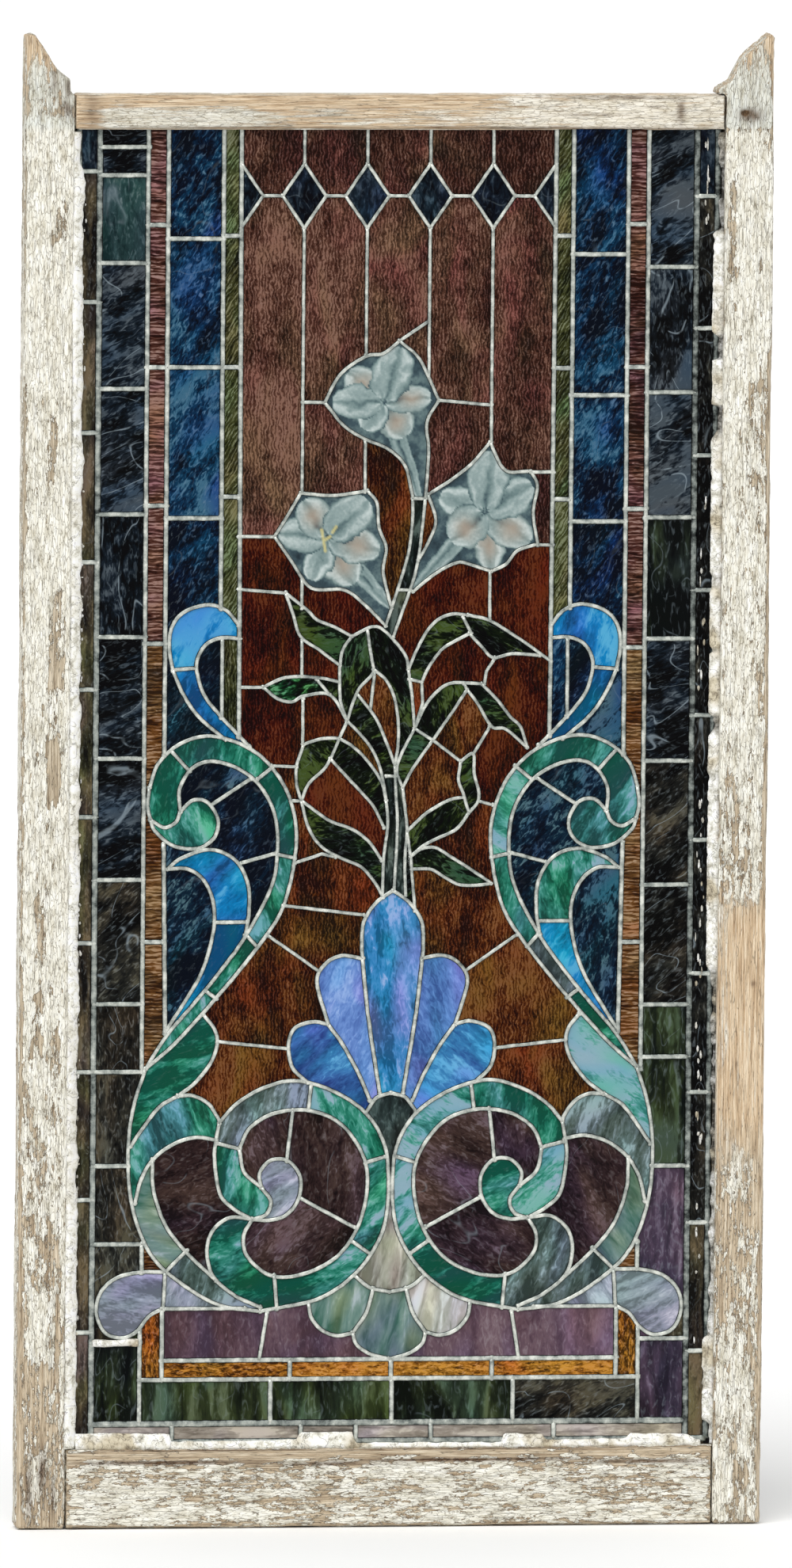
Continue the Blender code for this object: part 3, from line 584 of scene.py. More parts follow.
# glass, tone from 0 to 1 or None, flow in degrees or None, then points inside the panes
SPECIAL = (
    ("navy", None, None, [(x * LOZENGE_PITCH, LOZENGE_Z) for x in (-1.5, -0.5, 0.5, 1.5)]),
    ("navy", None, None, [(-155, LOZENGE_Z), (155, LOZENGE_Z)]),
    ("dusk", 0.35, 90, [(x, 1430) for x in (-130, -65, 0, 65, 130)]),
    ("dusk", 0.6, 90, [(-130, 1250), (-60, 1290), (0, 1300)]),
    ("dusk", 0.45, 90, [(75, 1230), (130, 1250), (20, 1228), (-86, 1124)]),
    ("dusk", 0.3, 90, [(75, 1130), (155, 1056)]),
    ("brown", 0.62, 90, [(80, 973), (141, 974), (-131, 993), (71, 895), (147, 847)]),
    ("russet", 0.45, 90, [(0, 1070), (33, 1030), (-45, 820), (-28, 864), (24, 859)]),
    ("russet", 0.35, 90, [(-5, 838), (-92, 696), (-62, 663), (-68, 618), (-111, 551), (-114, 780)]),
    ("russet", 0.42, 90, [(45, 767), (80, 702), (83, 630), (60, 816)]),
    ("russet", 0.6, 90, [(-140, 481), (140, 481), (111, 551)]),
    ("violet", 0.6, 70, [(-60, 560)]),
    ("violet", 0.4, 110, [(60, 560)]),
    ("bluebell", 0.3, 40, [(-85, 490)]),
    ("bluebell", 0.7, 140, [(85, 490)]),
    ("palmette", 0.5, 95, [(0, 560)]),
    ("stem", None, 90, [(20, 1030), (19, 1000), (5, 950), (0, 680), (-6, 700), (8, 720)]),
    ("bright_leaf", 0.45, 20, [(-91, 866), (-105, 866)]),
    ("sea", 0.5, 90, [(-284, 1350)]),
    ("slate", 0.7, 30, [(-276, 1259), (291, 1348), (-276, 1130), (276, 1084)]),
    ("slate", 0.3, 20, [(-276, 1430), (-276, 1411), (276, 833), (-276, 751), (-276, 876)]),
    ("umber", 0.35, 40, [(-276, 625), (276, 706), (276, 580)]),
    ("umber", 0.6, 90, [(-276, 517), (-295, 420), (-294, 334), (-282, 281)]),
    ("moss", 0.5, 90, [(276, 503), (295, 424)]),
    ("moss", 0.2, 90, [(276, 998)]),
    ("plum_tile", 0.55, 90, [(288, 317)]),
    ("plum_tile", 0.35, 90, [(276, 163)]),
    ("moss", 0.3, 90, [(-291, 163)]),
    ("umber", 0.55, 30, [(173, 137)]),
    ("amber", 0.3, 90, [(-247, 190), (247, 190)]),
    ("olive", 0.3, 90, [(-167, 885)]),
    ("rust", 0.5, 0, [(-252, 272), (252, 272)]),
    ("rust", None, 0, [(side * 245, z) for side in (-1, 1) for z in (570, 640, 870)]),
    ("blue", 0.3, 60, [(-200, 1367), (218, 1356), (200, 1262), (-207, 1009), (207, 1007)]),
    ("blue", 0.8, 60, [(-218, 1143)]),
    ("blue", 0.5, 60, [(-218, 1283), (218, 1122)]),
    ("midnight", 0.3, 50, [(-166, 767), (-156, 713), (-133, 685), (-186, 872), (186, 872)]),
    ("midnight", 0.55, 50, [(-231, 851), (231, 851), (166, 767), (160, 713), (133, 685)]),
    ("midnight", 0.3, 50, [(-222, 589)]),
    ("midnight", 0.6, 70, [(222, 589), (-232, 692), (232, 692)]),
    ("navy", 0.5, 90, [(322, 1397), (-317, 1413)]),
    ("dusty", None, 0, [(x, 97) for x in (-280, -179, -71, 17, 88, 218)]),
    ("border", 0.7, 90, [(-322, 163), (-317, 292), (317, 148)]),
    ("border", 0.4, 90, [(317, 224)]),
    ("umber", 0.25, 90, [(317, z) for z in (357, 488, 616, 751, 880, 1013, 1149, 1282)]),
    ("scroll", 0.15, 60, [(-172, 573), (172, 675), (220, 798), (209, 734), (240, 769), (-129, 774)]),
    ("scroll", 0.2, 20, [(-97, 240), (97, 240), (-137, 242), (111, 362), (-237, 469), (216, 521)]),
    ("scroll", 0.35, 80, [(-147, 345), (169, 408), (-240, 769), (130, 634), (-220, 798)]),
    ("scroll", 0.5, 110, [(-130, 634), (-73, 445), (-209, 734), (-216, 521), (-256, 396)]),
    ("scroll", 0.62, 40, [(24, 292), (-24, 292), (147, 345)]),
    ("scroll", 0.8, 150, [(73, 445), (129, 774), (237, 469)]),
    ("lilac", 0.4, 30, [(-111, 362)]),
    ("ash", None, 70, [(-169, 408), (137, 242), (172, 573), (-197, 258), (197, 258), (256, 396)]),
    ("azure", 0.2, 60, [(-218, 878), (218, 878), (-183, 579)]),
    ("azure", 0.75, 60, [(183, 579), (-186, 938)]),
    ("scroll", 0.45, 100, [(162, 640)]),
    ("opal", 0.4, 80, [(0, 269), (47, 217)]),
    ("pearl", 0.4, 80, [(-47, 217), (4, 204)]),
    ("drop", 0.5, 90, [(-3, 427)]),
)
print(f"{len(sheets)} sheets of glass, and {len(SPECIAL)} rows of other panes")

# %% Pane list
panes = []
for members, rim in openings:
    seed = max(members, key=area)
    middle = sum(seed, Vector((0, 0))) / 3
    node = sheet_under(*middle)
    kind = sheet_glass[node]
    tone, flow = None, None
    for other, other_tone, other_flow, spots in SPECIAL:
        if any(holds(members, *spot) for spot in spots):
            kind, tone, flow = other, other_tone, other_flow
    kind = SAME_GLASS.get(kind, kind)
    panes.append({"rim": rim, "middle": middle, "node": node, "kind": kind, "tone": tone, "flow": flow})
counts = {}
for pane in panes:
    counts[pane["kind"]] = counts.get(pane["kind"], 0) + 1
print("panes of each glass:", counts)

# %% [markdown]
# ## Helpers for making pieces
#
# Most of this window is one of two things: a flat pane, or something long with the same section
# along its whole length. The long things are lofted: a ring of points is carried along a path and
# skinned. Irregularity comes from one smooth noise, sampled in millimetres so its size is known.

# %% Noise, lofts and pieces
def soft_noise(points, size, seed=0):
    """Smooth noise from 0 to 1 at points in millimetres, its lumps of the given size."""
    cell = np.asarray(points, float) / size + seed * 17.31
    base = np.floor(cell)
    t = cell - base
    t = t * t * (3 - 2 * t)
    total = np.zeros(len(cell))
    for corner in np.ndindex(2, 2, 2):
        value = np.sin((base + corner) @ (127.1, 311.7, 74.7)) * 43758.5453 % 1.0
        total += value * np.prod(np.where(corner, t, 1 - t), axis=1)
    return total


def rough_noise(points, size, seed=0):
    """Three octaves of the soft noise, from 0 to 1."""
    return (soft_noise(points, size, seed) + 0.5 * soft_noise(points, np.asarray(size) / 2.1, seed + 1)
            + 0.25 * soft_noise(points, np.asarray(size) / 4.3, seed + 2)) / 1.75


def loft(rings):
    """Points and faces of a closed solid skinned over rings, an array of stations by corners by xyz."""
    stations, corners = rings.shape[:2]
    faces = []
    for low in range(0, (stations - 1) * corners, corners):
        for corner in range(corners):
            after = (corner + 1) % corners
            faces.append((low + corner, low + after, low + corners + after, low + corners + corner))
    faces.append(tuple(range(corners - 1, -1, -1)))
    faces.append(tuple(range((stations - 1) * corners, stations * corners)))
    return rings.reshape(-1, 3), faces


def join(solids):
    """Several point and face lists as one."""
    points, faces, start = [], [], 0
    for solid_points, solid_faces in solids:
        points.append(solid_points)
        faces.extend(tuple(start + corner for corner in face) for face in solid_faces)
        start += len(solid_points)
    return np.concatenate(points), faces


def stand_in(made, nodes):
    """Let an object ride on the frame in place of CAD nodes."""
    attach(made, "root")
    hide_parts(*nodes)


def piece(name, solid, material, nodes, smooth=True):
    """An object from points in millimetres and faces, in place of CAD nodes."""
    points, faces = solid
    mesh = bpy.data.meshes.new(name)
    mesh.from_pydata((np.asarray(points) * MM).tolist(), [], faces)
    mesh.validate()
    mesh.materials.append(material)
    mesh.polygons.foreach_set("use_smooth", [smooth] * len(mesh.polygons))
    made = bpy.data.objects.new(name, mesh)
    bpy.context.scene.collection.objects.link(made)
    stand_in(made, nodes)
    return made


def keep(made, name, values):
    """Store a number or a vector per point of a piece, for its material."""
    values = np.asarray(values, np.float32)
    kind, field = ("FLOAT_VECTOR", "vector") if values.ndim == 2 else ("FLOAT", "value")
    made.data.attributes.new(name, kind, "POINT").data.foreach_set(field, values.ravel())


print("noise along 10 mm:", soft_noise([(x, 0, 0) for x in range(0, 11, 2)], 5).round(2))

# %% [markdown]
# ## Materials
#
# Every finish is a Principled shader. What is uniform is set on the shader's own sockets; what varies
# comes from noise whose scale is worked out from millimetres.

# %% Nodes and colours
def linear(hex_color):
    """An sRGB hex colour as linear RGBA."""
    parts = [int(hex_color[index:index + 2], 16) / 255 for index in (1, 3, 5)]
    return (*[part / 12.92 if part <= 0.04045 else ((part + 0.055) / 1.055) ** 2.4 for part in parts], 1.0)


def add(material, kind, *values, out=None, stops=(), **named):
    """Add a node and give back one of its outputs, the first unless one is named.

    Values go to the inputs in order. A name in small letters is a setting, any other is an input. Each
    value is plain, a hex colour or another node's output. Stops are the places and colours of a ramp.
    """
    made = material.node_tree.nodes.new("ShaderNode" + kind)
    for name in filter(str.islower, named):
        setattr(made, name, named[name])
    inputs = [(made.inputs[name.replace("_", " ")], named[name]) for name in named if not name.islower()]
    inputs += zip([socket for socket in made.inputs if socket.enabled], values)
    for socket, value in inputs:
        if isinstance(value, bpy.types.NodeSocket):
            material.node_tree.links.new(value, socket)
        else:
            socket.default_value = linear(value) if isinstance(value, str) else value
    while stops and len(made.color_ramp.elements) < len(stops):
        made.color_ramp.elements.new(0.5)
    for index, (place, color) in enumerate(stops):
        made.color_ramp.elements[index].position = place
        made.color_ramp.elements[index].color = linear(color)
    return made.outputs[out] if out else [socket for socket in made.outputs if socket.enabled][0]


BLACK, WHITE = "#000000", "#ffffff"
print("mid grey in linear light:", round(linear("#808080")[0], 3))

# %% What the finishes share
BLEND = {"data_type": "RGBA"}
DARKEN = {"data_type": "RGBA", "blend_type": "MULTIPLY"}


def finish(name, roughness, metallic=0.0, ior=None):
    """A new Principled material with its uniform values."""
    made = bpy.data.materials.new(name)
    made.use_nodes = True
    shader = made.node_tree.nodes["Principled BSDF"]
    shader.inputs["Roughness"].default_value = roughness
    shader.inputs["Metallic"].default_value = metallic
    if ior:
        shader.inputs["IOR"].default_value = ior
    return made, shader


def stored(made, *names):
    """The numbers kept on a piece's points, by name."""
    return [add(made, "Attribute", attribute_name=name, out="Fac") for name in names]


def hairline(made, value, width, line, ground):
    """A thin line where a noise crosses its middle value."""
    past = add(made, "Math", value, 0.5, operation="SUBTRACT")
    away = add(made, "Math", past, operation="ABSOLUTE")
    return add(made, "ValToRGB", away, stops=((0.0, line), (width, ground)))


def dress(made, shader, color, height, relief, strength=1.0):
    """Give a shader its colour and its relief, a height from 0 to 1 worth some millimetres."""
    bump = add(made, "Bump", Height=height, Strength=strength, Distance=relief * MM)
    made.node_tree.links.new(color, shader.inputs["Base Color"])
    made.node_tree.links.new(bump, shader.inputs["Normal"])
    return made


print("colours mix as", BLEND, "or darken as", DARKEN)

# %% [markdown]
# ## Glass
#
# The panes are hand-rolled cathedral and opalescent glass. Colour runs through each sheet in streaks
# along the direction it was rolled, and every pane was cut at its own angle, so each pane stores its
# flow: millimetres along and across the streaks, and a number of its own. Its tone shifts it along
# the range of its colours. The rolled face is never flat, which breaks up what it reflects.

# %% One recipe for all the glasses
GLASS = {
    # glass: colours from dark to light; two tints that parts of the sheet take; length and width of its
    # streaks in mm, their contrast and that of the slow drift; length, width and depth of its ripples
    # in mm; how strongly the ripples glint, a painted glint lightening their crests; scratches
    "border": ("#0b0908 #2a241c #423a2a #6a5c44", "#2c2425 #34351f",
               (60, 10, 1.8, 1.6), (6, 3, 0.16), 0.3, 0.2),
    "dusty": ("#6c645a #8b8277 #9e958a #c0b8aa", "#948a96 #8e8672",
              (40, 7, 2.2, 1.4), (8, 4, 0.16), 0.2, 0.0),
    "slate": ("#000002 #030a11 #121c26 #3f484f", "#202224 #0c1c2a",
              (26, 15, 1.9, 2.6), (10, 3.6, 0.30), 0.3, 1.7),
    "umber": ("#000000 #141513 #2b2922 #4c4839", "#262926 #31261a",
              (30, 16, 1.6, 1.6), (10, 3.6, 0.26), 0.4, 1.4),
    "moss": ("#000405 #0c140d #222a18 #3d4c34", "#1c2428 #2b3612",
             (90, 12, 1.8, 1.8), (16, 5, 0.16), 0.4, 0.5),
    "sea": ("#0b2224 #1b3434 #2a4645 #4c5f5c", "#2b3340 #22463a", (50, 14, 1.4, 1.0), (9, 4, 0.22), 0.3, 0.5),
    "plum_tile": ("#1e1926 #322b3a #45394b #6a6273", "#332f42 #48343e",
                  (60, 12, 1.6, 1.9), (9, 4, 0.12), 0.4, 0.3),
    "red": ("#1c0703 #3d1e16 #56362d #907066", "#52303a #64432c",
            (30, 10, 1.2, 0.9), (16, 4.4, 0.48), 0.3, 0.0),
    "rust": ("#261104 #4c2c0e #66421e #98785a", "#66360e #54442a",
             (30, 10, 1.2, 1.4), (16, 4.4, 0.48), 0.4, 0.0),
    "blue": ("#000412 #02182f #07334f #386078", "#054060 #0a2c6c",
             (30, 16, 1.7, 1.5), (8, 3.2, 0.34), 0.35, 0.3),
    "midnight": ("#000512 #010f20 #062132 #42606a", "#062c38 #10244c",
                 (32, 18, 1.8, 1.7), (8, 3.4, 0.34), 0.15, 0.3),
    "olive": ("#0e1102 #2c2f12 #454828 #727658", "#463c20 #2f4426",
              (20, 8, 1.4, 0.9), (8, 3.6, 0.40), 0.35, 0.0),
    "azure": ("#00466c #04659a #0a7ab4 #4ea0c8", "#1290a8 #2c66c0",
              (60, 18, 1.7, 1.8), (9, 4, 0.18), 0.12, 0.0),
    "scroll": ("#06483a #166654 #2c7c6a #54988e #86a4b2", "#5492a8 #1e7a50",
               (50, 14, 2.2, 1.8), (9, 4, 0.22), 0.14, 0.0),
    "ash": ("#2c3832 #47554f #5f6f6f #90a2a8", "#4c6a66 #757e98",
            (56, 13, 2.1, 1.4), (9, 4, 0.20), 0.15, 0.0),
    "plum": ("#120709 #2b1c1c #40302c #605052", "#3e2c42 #33241e",
             (50, 26, 1.1, 1.0), (8, 4, 0.24), 0.2, 0.6),
    "drop": ("#0f1515 #1b2626 #293635 #435351", "#1c3c50 #46402c",
             (40, 12, 1.8, 0.8), (9, 4, 0.18), 0.2, 0.0),
    "lilac": ("#636873 #838899 #999aac #bcbaca", "#8f8cb4 #7f9a96",
              (70, 14, 2.4, 2.2), (9, 4, 0.20), 0.12, 0.0),
    "purple": ("#422f39 #54404b #655059 #7a686f", "#66484c #5c4a64",
               (80, 20, 1.3, 0.6), (9, 4, 0.20), 0.2, 0.1),
    "green": ("#020701 #161d0f #2a331b #525d43", "#28340f #1a2a24",
              (110, 15, 1.9, 1.8), (14, 5, 0.13), 0.3, 0.3),
    "amber": ("#3a1e02 #7a4814 #9c641c #c0843a", "#9c4210 #b0822a",
              (12, 4, 2.4, 1.0), (5, 2.4, 0.36), 0.35, 0.0),
    "opal": ("#73716a #9a9b98 #aeabae #ced0d8", "#c0a094 #a4b48c",
             (50, 12, 2.2, 1.4), (12, 5, 0.10), 0.1, 0.0),
    "pearl": ("#345f52 #587870 #728c84 #a2b0b4", "#7e88ac #82905c",
              (50, 12, 1.7, 0.9), (12, 5, 0.08), 0.1, 0.0),
    "leaf": ("#000000 #010800 #0b1402 #3b4a20", "#1c2a02 #081a12",
             (30, 11, 2.2, 1.9), (9, 3.6, 0.34), 0.2, 0.4),
    "bright_leaf": ("#000200 #021406 #0c380f #588e5c", "#183a10 #063024",
                    (20, 8, 3.4, 2.4), (9, 4, 0.30), 0.3, 0.0),
    "stem": ("#020807 #0f1815 #1e2926 #4e5a55", "#263630 #2c2e1c", (40, 8, 2.6, 1.0), (9, 4, 0.16), 0.3, 0.0),
    "brown": ("#100000 #2c0400 #3c0e00 #5a2a12", "#540802 #401c02",
              (15, 10, 1.3, 1.5), (5, 3.8, 0.46), 0.05, 0.0),
    "russet": ("#180200 #3c1602 #52290a #724725", "#5c1c02 #46330c",
               (15, 10, 1.3, 1.7), (5, 3.8, 0.46), 0.1, 0.0),
    "dusk": ("#1c0a05 #3e2118 #54372c #7c5a4c", "#5e2c2a #543f2b",
             (15, 10, 1.1, 1.1), (5, 3.8, 0.44), 0.15, 0.0),
    "navy": ("#000006 #060f1a #141f2a #36424d", "#0e2832 #161f3c",
             (20, 11, 1.9, 0.7), (9, 4, 0.22), 0.15, 0.4),
    "palmette": ("#12547e #2876ac #4284bc #8ea4d2", "#1a94b8 #7678c4",
                 (60, 14, 2.0, 1.3), (9, 4, 0.28), 0.2, 0.0),
    "violet": ("#34488a #5070b0 #6688c6 #8ca8da", "#8462c8 #4c96d0",
               (60, 18, 1.2, 0.5), (9, 4, 0.20), 0.1, 0.0),
    "bluebell": ("#1a3572 #2c5892 #3874aa #60a4d0", "#4a46ac #2486b4",
                 (60, 18, 1.7, 1.5), (9, 4, 0.18), 0.1, 0.0),
}
# the glasses with regular ripples, and the wave texture's scale that repeats once in each unit
COMBED = ("brown", "russet", "dusk", "red", "rust", "olive")
WAVE_PITCH = 2 * math.pi / 20
# how much a millimetre of ripple shifts the colour
RIPPLE_TONE = 4.8


def glass(name):
    """The material of one glass."""
    colors, tints, (streak, width, contrast, drift), (long, wide, depth), glint, scratches = GLASS[name]
    made, shader = finish("glass_" + name, roughness=0.16, ior=1.52)
    shader.inputs["Specular IOR Level"].default_value = 0.05
    flow = add(made, "Attribute", attribute_name="flow", out="Vector")
    tone, = stored(made, "tone")

    def along(length, across):
        return add(made, "Mapping", Vector=flow, Scale=(1 / length, 1 / across, 1))

    def streaky(length, across, **values):
        return add(made, "TexNoise", Vector=along(length, across), Scale=1.0, **values)

    def shifted(base, value, gain):
        low = add(made, "Math", base, gain / 2, operation="SUBTRACT")
        return add(made, "Math", value, gain, low, operation="MULTIPLY_ADD")

    def above(value, start, gain, most):
        past = add(made, "Math", value, start, operation="SUBTRACT", use_clamp=True)
        risen = add(made, "Math", past, gain, operation="MULTIPLY", use_clamp=True)
        return add(made, "Math", risen, most, operation="MULTIPLY")

    streaks = streaky(streak, width, Detail=3.0, Distortion=0.7)
    if name in COMBED:
        # ripples at a regular pitch that wander as they run
        waves = add(made, "TexWave", bands_direction="Y", Vector=along(long, wide), Scale=WAVE_PITCH,
                    Distortion=9.0, Detail=2.0, Detail_Scale=1.6, out="Fac")
        grain = streaky(long, 0.8 * wide, Detail=3.0, Distortion=2.0)
        ripple = add(made, "Math", grain, 0.6, 0.09, operation="MULTIPLY_ADD")
        ripple = add(made, "Math", waves, 0.22, ripple, operation="MULTIPLY_ADD")
    else:
        ripple = streaky(long, wide, Detail=2.0, Distortion=1.0)
    slow = streaky(90, 45, Detail=1.0, Distortion=0.6, out="Color")
    drifting, *patches = add(made, "SeparateColor", slow).node.outputs
    place = shifted(shifted(tone, streaks, contrast), drifting, drift)
    place = shifted(place, ripple, RIPPLE_TONE * depth)
    shades = colors.split()
    stops = [(0.1 + 0.8 * index / (len(shades) - 1), shade) for index, shade in enumerate(shades)]
    color = add(made, "ValToRGB", place, stops=stops)
    for tint, patch in zip(tints.split(), patches):
        color = add(made, "Mix", above(patch, 0.46, 3.6, 0.75), color, tint, **BLEND, blend_type="COLOR")
    # painted glint: the crests of the ripples are lightened toward pale grey in the base colour, standing in
    # for reflected light
    crest = above(ripple, 0.56, 6.0, glint)
    if scratches:
        # hairline scratches, broken where the streaks are dark
        hair = hairline(made, streaky(90, 50, Detail=0.5, Distortion=1.2), 0.009, WHITE, BLACK)
        broken = above(streaks, 0.42, 7.0, scratches)
        scratch = add(made, "Math", hair, broken, operation="MULTIPLY")
        crest = add(made, "Math", crest, scratch, operation="MAXIMUM")
    color = add(made, "Mix", crest, color, "#626c72", **BLEND, blend_type="SCREEN")
    return dress(made, shader, color, ripple, depth)


finishes = {name: glass(name) for name in GLASS}
print(f"{len(finishes)} glasses, {len(COMBED)} of them combed")

# %% Cut the panes
# degrees from level to the streaks where the list above gives none; other glass lies at a random angle
FLOW = {"border": 90, "slate": 90, "umber": 90, "moss": 90, "green": 90, "brown": 90, "purple": 90,
        "navy": 90, "blue": 60, "olive": 60, "midnight": 50, "red": 0, "rust": 0, "amber": 0, "dusty": 0}
# how far a pane runs under the leads, and how far its faces lie inside the CAD sheet's
TUCK = 1.8
SKIN = 0.35
# what keeps one pane's noise apart from the next one's
APART = 40.0


def outset(loop, distance):
    """Move a loop's edges outward."""
    moved = []
    for before, point, after in zip(loop[-1:] + loop[:-1], loop, loop[1:] + loop[:1]):
        first, second = (point - before).normalized(), (after - point).normalized()
        bend = first + second
        across = Vector((bend.y, -bend.x)).normalized()
        moved.append(point + across * distance / max(0.5, across.dot(Vector((first.y, -first.x)))))
    return moved


def slab(flat, faces, lean=0.0):
    """Points and faces of a pane, from the points and faces of its front."""
    count = len(flat)
    front = np.array([(point.x, 0, point.y) for point in flat])
    back = front.copy()
    front[:, 1] = GLASS_FRONT_Y + SKIN + lean
    back[:, 1] = GLASS_BACK_Y - SKIN + lean
    edges = dict.fromkeys(edge for face in faces for edge in zip(face, face[1:] + face[:1]))
    behind = [tuple(corner + count for corner in reversed(face)) for face in faces]
    walls = [(a, a + count, b + count, b) for a, b in edges if (b, a) not in edges]
    return np.concatenate([front, back]), faces + behind + walls


sets = {}
lilies = [pane for pane in panes if pane["kind"] == "ice"]
for number, pane in enumerate(panes):
    if pane["kind"] == "ice":
        continue
    rim = outset(pane["rim"], TUCK)
    tilt = Vector((rng.uniform(-0.004, 0.004), rng.uniform(-0.004, 0.004)))
    flow, tone = pane["flow"], pane["tone"]
    if flow is None:
        flow = FLOW.get(pane["kind"], rng.uniform(0, 180))
    if tone is None:
        tone = rng.uniform(0.35, 0.65)
    sway = np.clip([(point - pane["middle"]).dot(tilt) for point in rim], -SKIN, SKIN)
    points, faces = slab(rim, [tuple(range(len(rim)))], sway)
    turn = math.radians(flow)
    u = points[:, 0] * math.cos(turn) + points[:, 2] * math.sin(turn)
    v = points[:, 2] * math.cos(turn) - points[:, 0] * math.sin(turn)
    w = np.full(len(points), APART * number)
    group = sets.setdefault((pane["node"], pane["kind"]), {"solids": [], "flow": [], "tone": []})
    group["solids"].append((points, faces))
    group["flow"].append(np.stack([u, v, w], axis=1))
    group["tone"].append(np.full(len(points), tone))

for (sheet, kind), group in sets.items():
    made = piece(f"{sheet}_{kind}_glass", join(group["solids"]), finishes[kind],
                 [sheet], smooth=False)
    keep(made, "flow", np.concatenate(group["flow"]))
    keep(made, "tone", np.concatenate(group["tone"]))
print(f"{len(sets)} pieces of glass from {len(panes) - len(lilies)} panes")

# %% [markdown]
# ## The painted lilies
#
# The three flowers are single panes of slate blue glass, painted with white enamel and fired. Each
# is laid out here as petals about a centre. A fine mesh carries how thick the enamel lies at every
# point: heavy toward the rims of a petal, thin along its fold and gone between petals.

# %% Where the petals lie
# each flower's centre, its petals and its tube: the tip of each from the centre, and a petal's half width
FLOWERS = (
    ((-14, 1160),
     ((22, -35, 17), (-20, -27, 13), (-36, 31, 17), (-52, 0, 16), (48, 6, 13), (17, 55, 19)), (38, -98)),
    ((-71, 1021),
     ((27, -47, 18), (-16, -43, 14), (53, -14, 17), (-49, 4, 16), (-25, 37, 17), (41, 37, 19)), (66, -72)),
    ((92, 1047),
     ((7, -59, 15), (-46, 16, 15), (46, -31, 17), (48, 27, 17), (-34, -29, 19), (5, 61, 19)), (-74, -80)),
)
TUBE_HALF_WIDTH = 9
# the stamens of the open flower on the left: from and to, and how far their paint spreads
STAMENS = (((-77, 1029), (-73, 1007)), ((-66, 1026), (-62, 1032)), ((-74, 1018), (-68, 1022)))
STAMEN_SPREAD = 1.3
print("petals of each flower:", [len(petals) for _, petals, _ in FLOWERS])

# %% How the enamel lies
def enamel(points, centre, petals, tube):
    """How thick the enamel lies on the points of a flower, and where it is tinged warm."""
    place = points[:, [0, 2]] - centre
    radius = np.hypot(*place.T)
    wander = (rough_noise(points, 9.0, 4) - 0.5) * 0.5
    thick = -0.05 + 0.6 * rough_noise(points, 12.0, 8)
    warm = np.zeros(len(points))
    for index, (x, z, half) in enumerate(((*tube, TUBE_HALF_WIDTH),) + petals):
        length = math.hypot(x, z)
        along = place @ (x, z) / length ** 2
        side = place @ (-z, x) / length / (half * 1.15 if index else half)
        swell = 0.52 if index else 0.3
        width = np.sqrt(np.clip(1 - ((along - swell) / (1.04 - swell)) ** 2, 0.02, 1))
        across = side / width + wander
        inside = (np.abs(across) < 1) & (along > 0.06) & (along < 1.02)
        veins = 0.08 * np.sin(across * 9 + 9 * wander + index)
        rim = 0.42 * np.abs(across) ** 0.8 * (1 - np.abs(across) ** 6)
        fold = 0.14 * np.exp(-(across / 0.2) ** 2) * np.clip(1.2 - along, 0, 1)
        body = 0.45 + rim + 0.2 * np.clip(along, 0, 1) + veins + 0.5 * wander - fold
        body -= 0.3 * np.clip((np.abs(across) - 0.8) / 0.2, 0, 1) if index else 0.12
        thick = np.where(inside, body, thick)
        blush = 0.6 * (index % 2) * np.exp(-((along - 0.6) / 0.25) ** 2 - across ** 2 * 3)
        warm = np.where(inside, blush, warm)
    heart = np.exp(-(radius / 8.0) ** 2)
    turn = np.arctan2(place[:, 1], place[:, 0])
    thick += heart * (0.22 * np.sin(turn * 9 + 14 * wander) + 0.12)
    return np.clip(thick, 0, 1), warm


def pollen(points):
    """How yellow the paint is: three quarters on a stamen, and nothing two millimetres away."""
    place = points[:, [0, 2]]
    near = np.full(len(points), 99.0)
    for start, stop in STAMENS:
        run = np.subtract(stop, start)
        share = np.clip((place - start) @ run / (run @ run), 0, 1)
        near = np.minimum(near, np.linalg.norm(place - start - share[:, None] * run, axis=1))
    return np.clip(1.5 - near / STAMEN_SPREAD, 0, 0.75)


print("pollen at the end of a stamen:", pollen(np.array([(-77.0, 0.0, 1029.0)])))

# %% Paint the flowers
def lily_finish():
    """Slate blue glass under fired white enamel, satin where the enamel lies."""
    made, shader = finish("glass_lily_enamel", roughness=0.3, ior=1.52)
    shader.inputs["Specular IOR Level"].default_value = 0.2
    thick, warm, yellow = stored(made, "enamel", "warm", "pollen")
    place = add(made, "TexCoord", out="Object")
    brush = add(made, "TexNoise", Vector=place, Scale=1 / (3 * MM), Detail=4.0)
    least = add(made, "Math", thick, 0.15, operation="SUBTRACT")
    tone = add(made, "Math", brush, 0.3, least, operation="MULTIPLY_ADD", use_clamp=True)
    color = add(made, "ValToRGB", tone, stops=((0.0, "#14262f"), (0.25, "#354a52"), (0.5, "#677d7d"),
                                               (0.75, "#8a9c9b"), (1.0, "#bcc8c6")))
    color = add(made, "Mix", warm, color, "#b09a86", **BLEND)
    color = add(made, "Mix", yellow, color, "#c9bf80", **BLEND)
    return dress(made, shader, color, tone, 0.4, strength=0.6)
